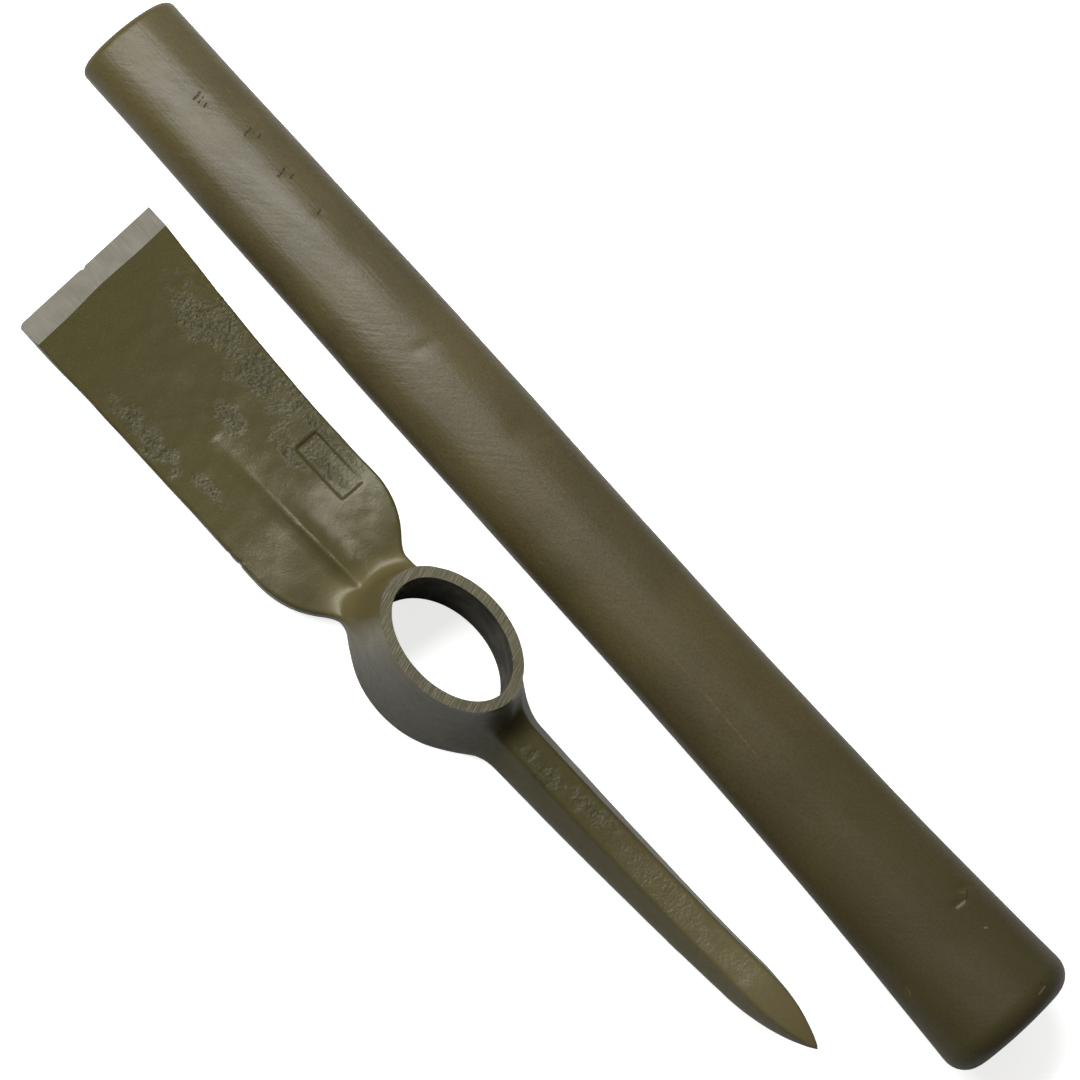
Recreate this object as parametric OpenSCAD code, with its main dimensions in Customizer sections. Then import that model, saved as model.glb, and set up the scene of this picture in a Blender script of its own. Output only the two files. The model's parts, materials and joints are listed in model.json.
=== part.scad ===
// Short pick mattock with a drop-through handle, lying apart on a bench.
// The head is one forging: hoe blade, oval eye and pick. The handle is one piece of turned wood.
// The head's eye stands on its large rim at z = 0, and the handle lies on its flat side.

/* [Handle] */
// Length of the handle, end to end
handle_len = 400; // [320:5:520]
// Wide side of the grip end
grip_w = 35.6; // [30:0.2:36.4]
// Thin side of the grip end
grip_h = 24.4; // [20:0.2:25]
// Wide side of the shank between grip and flare
shank_w = 37.6; // [36.4:0.2:40]
// Thin side of the shank between grip and flare
shank_h = 25.2; // [24:0.2:28]
// Length over which the grip end swells to the shank
swell_len = 140; // [80:5:180]
// Wide side of the flared end, before its edge is rounded
flare_w = 47.2; // [44:0.2:56]
// Thin side of the flared end, before its edge is rounded
flare_h = 37.8; // [35:0.2:42]
// Length of the flare on the wide side
flare_w_len = 165; // [120:5:220]
// Length of the flare on the thin side
flare_h_len = 95; // [80:5:160]
// Edge radius of the grip end
grip_round = 4; // [2:0.5:8]
// Edge radius of the flared end
flare_round = 8; // [4:0.5:12]

/* [Eye] */
// Height of the eye, between its two rims
eye_height = 35; // [28:1:45]
// Distance from the flared end to the eye's large rim when the head is seated
seat_from_end = 20; // [10:1:40]
// Gap all round between the handle and the eye at the seat
eye_clearance = 0.15; // [0.05:0.05:0.5]
// Wall at the small rim
rim_wall = 3.4; // [2.5:0.1:6]
// Wall at the large rim
foot_wall = 6.3; // [4:0.1:8]
// Edge rounding of the large rim's outside
foot_round = 2; // [0.5:0.5:3]

/* [Blade] */
// Distance from the eye's middle to the cutting edge
edge_reach = 156; // [120:1:200]
// Width of the cutting edge
edge_w = 54.4; // [45:0.2:80]
// Width of the blade at its waist
waist_w = 49.4; // [44:0.2:60]
// Distance from the eye's middle to where the waist starts to widen to the edge
waist_from_eye = 80; // [65:1:100]
// Distance from the eye's middle to where the shoulders start
shoulder_from_eye = 52.5; // [46:0.5:60]
// How much farther out the shoulder on the stamped side starts
shoulder_lead = 2; // [0:0.5:5]
// Radius of the shoulders, seen from above
shoulder_r = 30.5; // [28:0.5:45]
// Width of the neck between blade and eye
neck_w = 28; // [22:0.5:32]
// Thickness of the blade at the neck
neck_t = 6.5; // [5:0.1:9]
// Thickness of the blade where the ground bevel starts
plate_t = 3.6; // [2.5:0.1:5]
// Thickness left at the cutting edge
edge_t = 0.8; // [0.4:0.1:1.5]
// Skew of the cutting edge, as it was ground
edge_skew = 3; // [0:0.5:6]
// Length of the ground bevel
bevel_len = 8; // [4:0.5:15]
// Height of the blade's middle above the large rim, at the neck
blade_z = 5; // [4.6:0.1:9]
// Rise of the cutting edge above the neck
blade_lift = 12; // [0:0.5:25]

/* [Rib and stamp] */
// Distance from the eye's middle to the start of the stiffening rib
rib_from_eye = 93; // [70:1:110]
// Height of the rib where it meets the neck
rib_h = 3; // [1:0.1:5]
// Width of the rib's steep side
rib_steep_w = 4.5; // [2.5:0.5:7]
// Width of the rib's gentle side, towards the stamped panel
rib_gentle_w = 11; // [4:0.5:14]
// Sideways offset of the rib's crest where it meets the small rim
rib_offset = 3.5; // [0:0.5:6]
// Length of the ramp that carries the neck up to the small rim
ramp_len = 23; // [16:1:32]
// Step from the top of the ramp up to the small rim
ramp_drop = 1.2; // [0.6:0.1:3]
// Length of the blank stamped panel
stamp_len = 20.5; // [12:0.5:28]
// Width of the blank stamped panel
stamp_w = 8.3; // [5:0.1:12]
// Depth of the blank stamped panel
stamp_depth = 0.7; // [0.3:0.1:1]
// Distance from the eye's middle to the middle of the stamped panel
stamp_from_eye = 64.5; // [56:0.5:75]
// Sideways offset of the stamped panel from the blade's middle
stamp_offset = 15.5; // [10:0.5:18]

/* [Pick] */
// Distance from the eye's middle to the point
pick_reach = 158; // [120:1:210]
// Width of the pick at its root
pick_w = 19.4; // [14:0.2:24]
// Height of the pick at its root
pick_h = 16; // [12:0.5:20]
// Width of the pick where the point starts
tip_w = 14.6; // [11:0.2:18]
// Height of the pick where the point starts
tip_h = 11; // [9:0.2:16]
// Width of the flat along the top of the pick
facet_w = 9.6; // [6:0.2:10.4]
// Length of the rounded point
point_len = 36; // [18:1:45]
// Height of the pick's widest line above the large rim, at its root
pick_z = 5.8; // [5:0.1:12]
// Rise of the point above the root
pick_lift = 17; // [0:0.5:30]
// Radius of the fillet between pick and eye
root_fillet = 7; // [3:0.5:10]

/* [Lay] */
// Gap between the widest parts of the head and the handle as they lie
lay_gap = 8.5; // [2:0.5:40]
// Shift of the eye's middle along the handle, from the handle's middle
lay_shift = 5.5; // [-20:0.5:20]
// Angle between the head's length and the handle as they lie
lay_angle = 1.3; // [0:0.1:5]

/* [Hidden] */

// Points round an oval section, and across one side of a blade section
OVAL_SIDES = 48;
BLADE_POINTS = 20;
// Stations along a loft, over a rounded end and over the ground bevel
STATIONS = 40;
END_STATIONS = 5;
BEVEL_STATIONS = 2;
// Powers of the curves: the blade's widening, the point's taper and the pick's rise
WAIST_POWER = 1.3;
POINT_POWER = 0.6;
PICK_LIFT_POWER = 2.4;
// Share of the pick's height that lies below its widest line
PICK_LOW = 0.32;
// Half of the upright band at the pick's widest line, as a share of its height
PICK_BAND = 0.1;
// Width of the pick's underside, as a share of its widest line
PICK_FOOT = 0.72;

paint = [0.34, 0.31, 0.20];
steel_paint = [0.32, 0.29, 0.19];

function clamp01(t) = min(1, max(0, t));
function smooth(t) = let (c = clamp01(t)) c * c * (3 - 2 * c);
function mix(a, b, t) = a + (b - a) * t;
function oval(a, b) = [for (i = [0 : OVAL_SIDES - 1])
    [a * cos(360 * i / OVAL_SIDES), b * sin(360 * i / OVAL_SIDES)]];

// Half of a handle side at a distance t from the flared end:
// a parabola over the flare, then straight, then a soft taper to the grip end.
function handle_half(t, grip, shank, flare, flare_len) =
    mix(shank, grip, smooth((t - handle_len + swell_len) / swell_len)) / 2
    + (flare - shank) / 2 * pow(max(0, 1 - t / flare_len), 2);
function handle_half_w(t) = handle_half(t, grip_w, shank_w, flare_w, flare_w_len);
function handle_half_h(t) = handle_half(t, grip_h, shank_h, flare_h, flare_h_len);

// Half sides of the eye's hole at a height z: the seated handle there, with the clearance
function eye_half_w(z) = handle_half_w(seat_from_end + z) + eye_clearance;
function eye_half_h(z) = handle_half_h(seat_from_end + z) + eye_clearance;
function eye_wall(z) = mix(foot_wall, rim_wall, z / eye_height);
rim_half_w = eye_half_w(eye_height) + rim_wall;
foot_half_w = eye_half_w(0) + foot_wall;
foot_half_h = eye_half_h(0) + foot_wall;

// How the two pieces lie: the whole is centred on the origin, seen from above
corner_reach = edge_reach - edge_w / 2 * tan(edge_skew);
head_side = max(edge_w / 2 * cos(lay_angle) + corner_reach * sin(lay_angle), foot_half_h);
flare_side = handle_half_w(flare_round);
lay_width = head_side + foot_half_h + lay_gap + 2 * flare_side;
head_y = head_side - lay_width / 2;
handle_y = lay_width / 2 - flare_side;
flare_foot = handle_half_h(flare_round);
handle_tilt = atan((flare_foot - grip_h / 2) / (handle_len - grip_round - flare_round));
handle_z = (flare_foot + grip_h / 2) / 2 / cos(handle_tilt);

// A closed skin over rings of points that all have the same count, each end closed to its middle
function ring_middle(ring) = [for (k = [0 : 2]) [for (p = ring) p[k]] * [for (p = ring) 1] / len(ring)];

module loft(rings) {
    n = len(rings[0]);
    last = (len(rings) - 1) * n;
    first_middle = last + n;
    last_middle = first_middle + 1;
    sides = [for (i = [0 : len(rings) - 2], j = [0 : n - 1])
        let (a = i * n + j, b = i * n + (j + 1) % n)
        each [[a, b + n, b], [a, a + n, b + n]]];
    ends = [for (j = [0 : n - 1])
        let (k = (j + 1) % n)
        each [[first_middle, j, k], [last_middle, last + k, last + j]]];
    polyhedron(
        [for (r = rings) each r, ring_middle(rings[0]), ring_middle(rings[len(rings) - 1])],
        concat(sides, ends));
}

// Handle: an oval carried from the grip end to the flared end

// Distance from an end to a station over its rounded edge, and how far the section draws in there
function end_run(i, r) = r * (1 - cos(90 * i / END_STATIONS));
function end_draw(i, r) = r * (1 - sin(90 * i / END_STATIONS));

function handle_ring(t, draw) =
    [for (p = oval(handle_half_w(t) - draw, handle_half_h(t) - draw))
        [handle_len / 2 - t, p[0], p[1]]];

module handle() {
    straight = handle_len - flare_round - grip_round;
    grip_end = [for (i = [0 : END_STATIONS])
        handle_ring(handle_len - end_run(i, grip_round), end_draw(i, grip_round))];
    shank = [for (i = [STATIONS - 1 : -1 : 1])
        handle_ring(flare_round + straight * i / STATIONS, 0)];
    flare_end = [for (i = [END_STATIONS : -1 : 0])
        handle_ring(end_run(i, flare_round), end_draw(i, flare_round))];
    color(paint)
    translate([0, handle_y, handle_z])
    rotate([0, -handle_tilt, 0])
    loft(concat(grip_end, shank, flare_end));
}

// Head: blade, eye and pick in one forging

// Half width of the blade at a distance d from the eye's middle, on a side whose shoulder starts at start
function blade_half(d, start) = d > start
    ? waist_w / 2 + (edge_w - waist_w) / 2
        * pow(clamp01((d - waist_from_eye) / (edge_reach - waist_from_eye)), WAIST_POWER)
    : max(neck_w / 2, waist_w / 2 - shoulder_r
        + sqrt(max(0, pow(shoulder_r, 2) - pow(start - d, 2))));

// Heights of the blade's middle, underside and upper side at that distance
function blade_mid(d) = blade_z + blade_lift
    * pow(clamp01((d - shoulder_from_eye) / (edge_reach - shoulder_from_eye)), 2);
function blade_plate(d) = mix(neck_t, plate_t,
    clamp01((d - shoulder_from_eye) / (edge_reach - bevel_len - shoulder_from_eye)));
function blade_low(d) = blade_mid(d) - blade_plate(d) / 2;
function blade_high(d) = let (ground = clamp01((d - edge_reach + bevel_len) / bevel_len))
    mix(blade_mid(d) + blade_plate(d) / 2, blade_low(d) + edge_t, ground);

// The rib stands on the blade and grows towards the neck
function rib_rise(d, y) =
    let (grown = smooth((rib_from_eye - d) / (rib_from_eye - shoulder_from_eye)),
         from_crest = y + rib_offset * clamp01((rib_from_eye - d) / (rib_from_eye - rim_half_w)),
         side_w = from_crest < 0 ? rib_steep_w : rib_gentle_w)
    rib_h * grown * (1 - smooth(abs(from_crest) / side_w));
// The ramp climbs from the neck to the small rim
function ramp_rise(d, y) =
    let (climb = 1 - clamp01((d - rim_half_w) / ramp_len))
    (eye_height - ramp_drop - blade_high(d)) * climb * climb * (1 - smooth(abs(y) / (neck_w / 2)));

function blade_ring(d) =
    let (stamped = blade_half(d, shoulder_from_eye + shoulder_lead),
         plain = -blade_half(d, shoulder_from_eye),
         skew = tan(edge_skew) * clamp01((d - waist_from_eye) / (edge_reach - waist_from_eye)))
    [for (i = [0 : BLADE_POINTS]) let (y = mix(stamped, plain, i / BLADE_POINTS))
        [-d - y * skew, y, blade_high(d) + max(rib_rise(d, y), ramp_rise(d, y))],
     for (i = [0 : BLADE_POINTS]) let (y = mix(plain, stamped, i / BLADE_POINTS))
        [-d - y * skew, y, blade_low(d)]];

module stamp_panel() {
    translate([-stamp_from_eye, stamp_offset, blade_high(stamp_from_eye) - stamp_depth])
    translate([-stamp_len / 2, -stamp_w / 2, 0])
    cube([stamp_len, stamp_w, eye_height]);
}

module blade() {
    bevel_from_eye = edge_reach - bevel_len;
    stations = concat(
        [for (i = [0 : BEVEL_STATIONS]) mix(edge_reach, bevel_from_eye, i / BEVEL_STATIONS)],
        [for (i = [1 : STATIONS]) mix(bevel_from_eye, eye_half_w(0) / 2, i / STATIONS)]);
    difference() {
        loft([for (d = stations) blade_ring(d)]);
        stamp_panel();
    }
}

// Eye: the outside tapers from the large rim to the small one, and the hole follows the handle's flare
module eye_outside() {
    foot = [for (i = [0 : END_STATIONS]) [end_run(i, foot_round), end_draw(i, foot_round)]];
    wall = [for (i = [1 : END_STATIONS]) [mix(foot_round, eye_height, i / END_STATIONS), 0]];
    loft([for (s = concat(foot, wall)) let (z = s[0], out = eye_wall(z) - s[1])
        [for (p = oval(eye_half_w(z) + out, eye_half_h(z) + out)) [p[0], p[1], z]]]);
}

module eye_hole() {
    loft([for (i = [-1 : END_STATIONS + 1]) let (z = eye_height * i / END_STATIONS)
        [for (p = oval(eye_half_w(z), eye_half_h(z))) [p[0], p[1], z]]]);
}

// Pick: an eight-sided section, widest low down, with a flat above and below, drawn to a point
function pick_mid(x) = pick_z + pick_lift
    * pow(clamp01((x - rim_half_w) / (pick_reach - rim_half_w)), PICK_LIFT_POWER);
function pick_side(x, root, tip) =
    mix(root, tip, clamp01((x - rim_half_w) / (pick_reach - point_len - rim_half_w)))
    + root_fillet * pow(clamp01((foot_half_w + root_fillet - x) / root_fillet / 2), 2);
function point_scale(x) = let (left = clamp01((pick_reach - x) / point_len))
    pow(1 - pow(1 - left, 2), POINT_POWER);

function pick_ring(x) =
    let (grow = point_scale(x),
         w = pick_side(x, pick_w, tip_w) * grow / 2,
         h = pick_side(x, pick_h, tip_h) * grow,
         band = h * PICK_BAND,
         top = h * (1 - PICK_LOW),
         low = -h * PICK_LOW,
         flat = facet_w * grow / 2,
         foot = w * PICK_FOOT)
    [for (p = [[w, -band], [w, band], [flat, top], [-flat, top],
               [-w, band], [-w, -band], [-foot, low], [foot, low]])
        [x, p[0], max(0, pick_mid(x) + p[1])]];

module pick() {
    shank_end = pick_reach - point_len;
    shank_stations = STATIONS / 2;
    point_stations = END_STATIONS * 2;
    stations = concat(
        [for (i = [0 : shank_stations]) mix(eye_half_w(0) / 2, shank_end, i / shank_stations)],
        [for (i = [1 : point_stations - 1]) shank_end + point_len * sin(90 * i / point_stations)]);
    loft([for (x = stations) pick_ring(x)]);
}

module head() {
    color(steel_paint)
    translate([lay_shift, head_y, 0])
    rotate([0, 0, lay_angle])
    difference() {
        union() {
            eye_outside();
            blade();
            pick();
        }
        eye_hole();
    }
}

handle();
head();
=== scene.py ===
"""Looks of a short pick mattock, taken apart: a painted forged head beside its painted handle.

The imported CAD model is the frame, in metres. Both of its solids get a finer skin of the same sizes.
The handle is an oval carried along its length. The head is the zero level of a field in which the
blade, the eye and the pick run into each other through forged fillets, because a forging has no
seams where separate surfaces could meet. The grinder, the file and the drift that finished it are
cutters, made as profiles carried along a path, and each leaves its own finish on its cut.
"""

from __future__ import annotations

import json
import logging
import math
from dataclasses import dataclass, field
from enum import Enum

import bpy
import numpy as np
from mathutils import Matrix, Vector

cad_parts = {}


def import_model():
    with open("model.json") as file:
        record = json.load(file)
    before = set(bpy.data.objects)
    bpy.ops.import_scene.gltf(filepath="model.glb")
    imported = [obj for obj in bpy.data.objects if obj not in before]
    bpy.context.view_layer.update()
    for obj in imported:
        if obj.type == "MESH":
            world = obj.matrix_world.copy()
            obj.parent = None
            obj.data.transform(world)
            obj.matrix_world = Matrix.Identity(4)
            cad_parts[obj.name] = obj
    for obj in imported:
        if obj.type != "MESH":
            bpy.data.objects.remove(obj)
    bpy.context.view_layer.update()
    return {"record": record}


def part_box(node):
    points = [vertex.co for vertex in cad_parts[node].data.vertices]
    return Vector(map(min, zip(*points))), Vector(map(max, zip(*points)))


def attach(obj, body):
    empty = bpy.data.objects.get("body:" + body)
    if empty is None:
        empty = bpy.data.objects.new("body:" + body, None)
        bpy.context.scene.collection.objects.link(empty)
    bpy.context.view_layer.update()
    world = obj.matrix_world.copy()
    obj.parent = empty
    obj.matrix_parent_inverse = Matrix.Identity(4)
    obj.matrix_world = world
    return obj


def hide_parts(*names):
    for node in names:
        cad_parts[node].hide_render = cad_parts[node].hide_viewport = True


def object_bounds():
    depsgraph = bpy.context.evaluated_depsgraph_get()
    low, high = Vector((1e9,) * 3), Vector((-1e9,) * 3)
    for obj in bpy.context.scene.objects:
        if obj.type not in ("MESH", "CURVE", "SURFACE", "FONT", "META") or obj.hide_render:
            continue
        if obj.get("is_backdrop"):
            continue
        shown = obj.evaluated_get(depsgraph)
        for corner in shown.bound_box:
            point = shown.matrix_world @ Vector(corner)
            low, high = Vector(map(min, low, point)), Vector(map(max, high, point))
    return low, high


LOG = logging.getLogger("pick_mattock")

Array = np.ndarray
Color = tuple[float, float, float, float]
Place = tuple[float, float, float]
Skin = tuple[Array, list[list[int]]]
Marks = tuple[tuple[float, float, float, float, float], ...]
Material, Node, Socket = bpy.types.Material, bpy.types.Node, bpy.types.NodeSocket
Outputs = bpy.types.NodeOutputs
Value = float | tuple[float, ...] | Socket
Inputs = dict[str | int, Value]

# A noise is given by its scale and detail, and a span by two values of a mask and what they give.
Noise = tuple[float, float]
Span = tuple[float, ...]


def clamp01(value: Array | float) -> Array:
    """Holds a value between 0 and 1."""
    return np.clip(value, 0.0, 1.0)


def smooth(value: Array | float) -> Array:
    """Eases from 0 to 1: three times the square less twice the cube."""
    held = clamp01(value)
    return held * held * (3.0 - 2.0 * held)


def blend(low: Array | float, high: Array | float, share: Array | float) -> Array:
    """Goes straight from low to high as share goes from 0 to 1."""
    return low + (high - low) * share


def soft_max(first: Array, second: Array, reach: Array | float) -> Array:
    """Larger of two fields, with the corner between them rounded.

    Where the two differ by less than reach, a quarter of reach times the square of their closeness
    is added, so two faces that meet lose their edge over that reach.

    Args:
        first: One field.
        second: The other field.
        reach: Difference below which the corner is rounded, in the fields' unit.

    Returns:
        The rounded larger field.
    """
    close = np.maximum(reach - np.abs(first - second), 0.0) / reach
    return np.maximum(first, second) + close * close * reach / 4.0


def soft_min(first: Array, second: Array, reach: Array | float) -> Array:
    """Smaller of two fields, with a fillet of that reach in the corner between them."""
    return -soft_max(-first, -second, reach)


def tint(red: float, green: float, blue: float) -> Color:
    """Shader colour of a display colour.

    Args:
        red: Red part, from 0 to 255.
        green: Green part.
        blue: Blue part.

    Returns:
        The opaque colour in linear light.
    """
    parts = np.array([red, green, blue]) / 255.0
    light = np.where(parts <= 0.04045, parts / 12.92, ((parts + 0.055) / 1.055) ** 2.4)
    return (float(light[0]), float(light[1]), float(light[2]), 1.0)


@dataclass(frozen=True)
class Grain:
    """Seeded noise in space, for dents and ripples that are part of the shape.

    Attributes:
        seed: Seed of the random values.
        size: Distance between two values, in metres.
        cells: Values along each side of the block that repeats.
    """

    seed: int
    size: float
    cells: int = 32

    def at(self, points: Array) -> Array:
        """Noise at some points: random values on a lattice, eased from corner to corner.

        Args:
            points: Points in space, one row each.

        Returns:
            One value between -1 and 1 for each point.
        """
        table = np.random.default_rng(self.seed).uniform(-1.0, 1.0, (self.cells,) * 3)
        scaled = points / self.size
        low = np.floor(scaled).astype(int)
        share = smooth(scaled - low)
        total = np.zeros(len(points))
        for corner in np.ndindex(2, 2, 2):
            weight = np.prod(np.where(corner, share, 1.0 - share), axis=1)
            total += weight * table[tuple(((low + corner) % self.cells).T)]
        return total


def tube(rings: Array, poles: Array) -> Skin:
    """Closed tube: quads between rings of points, and a fan from a pole over each end.

    Args:
        rings: Points by ring and side, stacked the way that the sides turn right-handed.
        poles: Point over the first ring and point over the last.

    Returns:
        The points, poles last, and the faces, quads first, pointing outwards.
    """
    count, sides = rings.shape[:2]
    ring, side = np.meshgrid(np.arange(count - 1), np.arange(sides), indexing="ij")
    near, far = ring * sides + side, ring * sides + (side + 1) % sides
    quads = np.stack([near, far, far + sides, near + sides], axis=-1).reshape(-1, 4)
    around, onward = np.arange(sides), (np.arange(sides) + 1) % sides
    last, pole = (count - 1) * sides, count * sides
    first_fan = np.stack([np.full(sides, pole), onward, around], axis=-1)
    last_fan = np.stack([np.full(sides, pole + 1), last + around, last + onward], axis=-1)
    faces = quads.tolist() + first_fan.tolist() + last_fan.tolist()
    return np.concatenate([rings.reshape(-1, 3), poles]), faces


def level_skin(values: Array, origin: Array, step: float) -> Skin:
    """Skin of the zero level of a field on a box of grid points.

    Each grid cell that the level passes through gets one point, the mean of the places where the
    level crosses the cell's edges. Each grid edge that the level crosses gets one quad, which joins
    the points of the four cells round it.

    Args:
        values: Field on the grid, negative inside.
        origin: Place of the first grid point.
        step: Distance between grid points.

    Returns:
        The points and the quads, pointing outwards.
    """
    cells = np.array(values.shape) - 1
    sums, counts = np.zeros((3, cells.prod())), np.zeros(cells.prod())
    quads = []
    for axis in range(3):
        low = np.moveaxis(np.moveaxis(values, axis, 0)[:-1], 0, axis)
        high = np.moveaxis(np.moveaxis(values, axis, 0)[1:], 0, axis)
        edges = np.argwhere((low < 0.0) != (high < 0.0))
        start, finish = low[tuple(edges.T)], high[tuple(edges.T)]
        crossings = edges.astype(float)
        crossings[:, axis] += start / (start - finish)
        second, third = (axis + 1) % 3, (axis + 2) % 3
        corners = []
        for back_second, back_third in ((0, 0), (1, 0), (1, 1), (0, 1)):
            cell = edges.copy()
            cell[:, second] -= back_second
            cell[:, third] -= back_third
            flat = np.ravel_multi_index(tuple(cell.T), tuple(cells))
            counts += np.bincount(flat, minlength=len(counts))
            for part in range(3):
                sums[part] += np.bincount(flat, weights=crossings[:, part], minlength=len(counts))
            corners.append(flat)
        quad = np.stack(corners, axis=-1)
        quads.append(np.where((start < 0.0)[:, None], quad, quad[:, ::-1]))
    used = counts > 0
    number = np.cumsum(used) - 1
    points = origin + (sums[:, used] / counts[used]).T * step
    return points, number[np.concatenate(quads)].tolist()


def neighbour_mean(points: Array, pairs: Array) -> Array:
    """Mean of each point's neighbours.

    Args:
        points: Values of the points, one row each.
        pairs: Numbers of two neighbours in each row.

    Returns:
        One row of means for each point.
    """
    both = np.concatenate([pairs, pairs[:, ::-1]])
    counts = np.bincount(both[:, 0], minlength=len(points))
    sums = [np.bincount(both[:, 0], part[both[:, 1]], len(points)) for part in points.T]
    return np.stack(sums, axis=-1) / np.maximum(counts, 1)[:, None]


def make_piece(name: str, skin: Skin, finishes: list[Material]) -> bpy.types.Object:
    """Puts a skin into a mesh object at the origin.

    Args:
        name: Name of the piece and of its mesh.
        skin: Points and faces, in metres.
        finishes: Materials of the piece's slots.

    Returns:
        The new object, linked to the scene.
    """
    points, faces = skin
    mesh = bpy.data.meshes.new(name)
    mesh.from_pydata(points, [], faces)
    for finish in finishes:
        mesh.materials.append(finish)
    piece = bpy.data.objects.new(name, mesh)
    bpy.context.scene.collection.objects.link(piece)
    return piece


# ---- Handle ----


@dataclass(frozen=True)
class Oval:
    """Two sizes of an oval: across its wide side and across its thin side."""

    wide: float
    thin: float


@dataclass(frozen=True)
class Dent:
    """A bruise on top of the handle.

    Attributes:
        along: Place along the handle, from its middle towards the flared end.
        across: Place across the handle, from its middle line.
        half_length: Half length of the bruise.
        half_width: Half width of the bruise.
        turn: Turn of its length from the handle's length, in degrees.
        depth: Depth at its middle.
    """

    along: float
    across: float
    half_length: float
    half_width: float
    turn: float
    depth: float


@dataclass
class Handle:
    """One piece of turned and painted wood, with a narrow grip end and a flared end."""

    length: float = 0.400
    grip: Oval = Oval(0.0356, 0.0244)
    shank: Oval = Oval(0.0376, 0.0252)
    flare: Oval = Oval(0.0472, 0.0378)
    swell_length: float = 0.140
    flare_length: Oval = Oval(0.165, 0.095)
    grip_round: float = 0.0025
    flare_round: float = 0.008
    grip_dome: float = 0.0012
    flare_dome: float = 0.0008
    sides: int = 144
    stations: int = 520
    end_rings: int = 9
    wobbles: tuple[tuple[Grain, float], ...] = (
        (Grain(seed=11, size=0.034), 0.00016),
        (Grain(seed=12, size=0.012), 0.00005),
    )
    dents: tuple[Dent, ...] = (
        Dent(-0.102, 0.0063, 0.006, 0.004, 20.0, 0.00025),
        Dent(-0.0658, 0.0012, 0.005, 0.0022, 70.0, 0.00030),
        Dent(-0.0282, 0.0051, 0.005, 0.0045, 0.0, 0.00035),
        Dent(-0.0226, 0.0105, 0.004, 0.0012, 60.0, 0.00020),
        Dent(-0.148, 0.0065, 0.0022, 0.0008, 88.0, 0.00040),
        Dent(-0.1332, 0.0061, 0.0022, 0.0008, 80.0, 0.00035),
        Dent(-0.166, 0.0008, 0.0030, 0.0022, 30.0, 0.00022),
        Dent(-0.1173, 0.0043, 0.0020, 0.0010, 60.0, 0.00025),
        Dent(0.1598, 0.0074, 0.0024, 0.0009, 75.0, 0.00035),
        Dent(0.1572, 0.0125, 0.0026, 0.0012, 60.0, 0.00030),
        Dent(0.1735, 0.0001, 0.0120, 0.0050, 10.0, 0.00022),
        Dent(0.1678, -0.0197, 0.0022, 0.0009, 10.0, 0.00030),
    )

    def half_sizes(self, run: Array) -> tuple[Array, Array]:
        """Half wide and half thin side: a soft taper at the grip and a parabola over the flare.

        Args:
            run: Distances from the flared end.

        Returns:
            Half sizes across the wide side and across the thin side.
        """
        swell = smooth((run - self.length + self.swell_length) / self.swell_length)

        def half(grip: float, shank: float, flare: float, flare_length: float) -> Array:
            """Half of one side."""
            rise = np.maximum(0.0, 1.0 - run / flare_length) ** 2
            return blend(shank, grip, swell) / 2.0 + (flare - shank) / 2.0 * rise

        ovals = self.grip, self.shank, self.flare, self.flare_length
        return half(*(oval.wide for oval in ovals)), half(*(oval.thin for oval in ovals))

    def end_profile(self, edge: float, dome: float) -> tuple[Array, Array, Array]:
        """Rings over one end, from its middle outwards: a shallow dome, then a quarter round.

        Args:
            edge: Radius of the rounded edge.
            dome: Height of the dome.

        Returns:
            Each ring's distance from the end, its share of the face and how far it draws in.
        """
        share = np.linspace(0.0, 1.0, self.end_rings + 1)[1:]
        turn = np.linspace(0.0, math.pi / 2.0, self.end_rings + 1)[1:]
        depth = np.concatenate([dome * share**2, dome + edge * (1.0 - np.cos(turn))])
        scale = np.concatenate([share, np.ones_like(turn)])
        draw = np.concatenate([np.full_like(share, edge), edge * (1.0 - np.sin(turn))])
        return depth, scale, draw

    def rings(self) -> tuple[Array, Array, Array]:
        """Places of all the rings, from the grip end on: one end, the body and the other end.

        Returns:
            Each ring's distance from the flared end, its scale and how far it draws in.
        """
        grip_depth, grip_scale, grip_draw = self.end_profile(self.grip_round, self.grip_dome)
        flare_depth, flare_scale, flare_draw = self.end_profile(self.flare_round, self.flare_dome)
        first, last = self.length - grip_depth[-1], flare_depth[-1]
        body = np.linspace(first, last, self.stations)[1:-1]
        run = np.concatenate([self.length - grip_depth, body, flare_depth[::-1]])
        scale = np.concatenate([grip_scale, np.ones_like(body), flare_scale[::-1]])
        draw = np.concatenate([grip_draw, np.zeros_like(body), flare_draw[::-1]])
        return run, scale, draw

    def turns(self) -> Array:
        """Angles of a ring's points, starting underneath, where the seam is."""
        return np.linspace(-0.5, 1.5, self.sides, endpoint=False) * math.pi

    def bruise(self, points: Array) -> Array:
        """Depth of the dents at some points: a bell over each dent, on the upper side only.

        Args:
            points: Points of the plain handle, one row each.

        Returns:
            How far each point is pressed in.
        """
        depth = np.zeros(len(points))
        for dent in self.dents:
            turn = math.radians(dent.turn)
            along, across = points[:, 0] - dent.along, points[:, 1] - dent.across
            lengthwise = along * math.cos(turn) + across * math.sin(turn)
            sideways = across * math.cos(turn) - along * math.sin(turn)
            away = (lengthwise / dent.half_length) ** 2 + (sideways / dent.half_width) ** 2
            depth += dent.depth * np.exp(-away) * (points[:, 2] > 0.0)
        return depth

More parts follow.
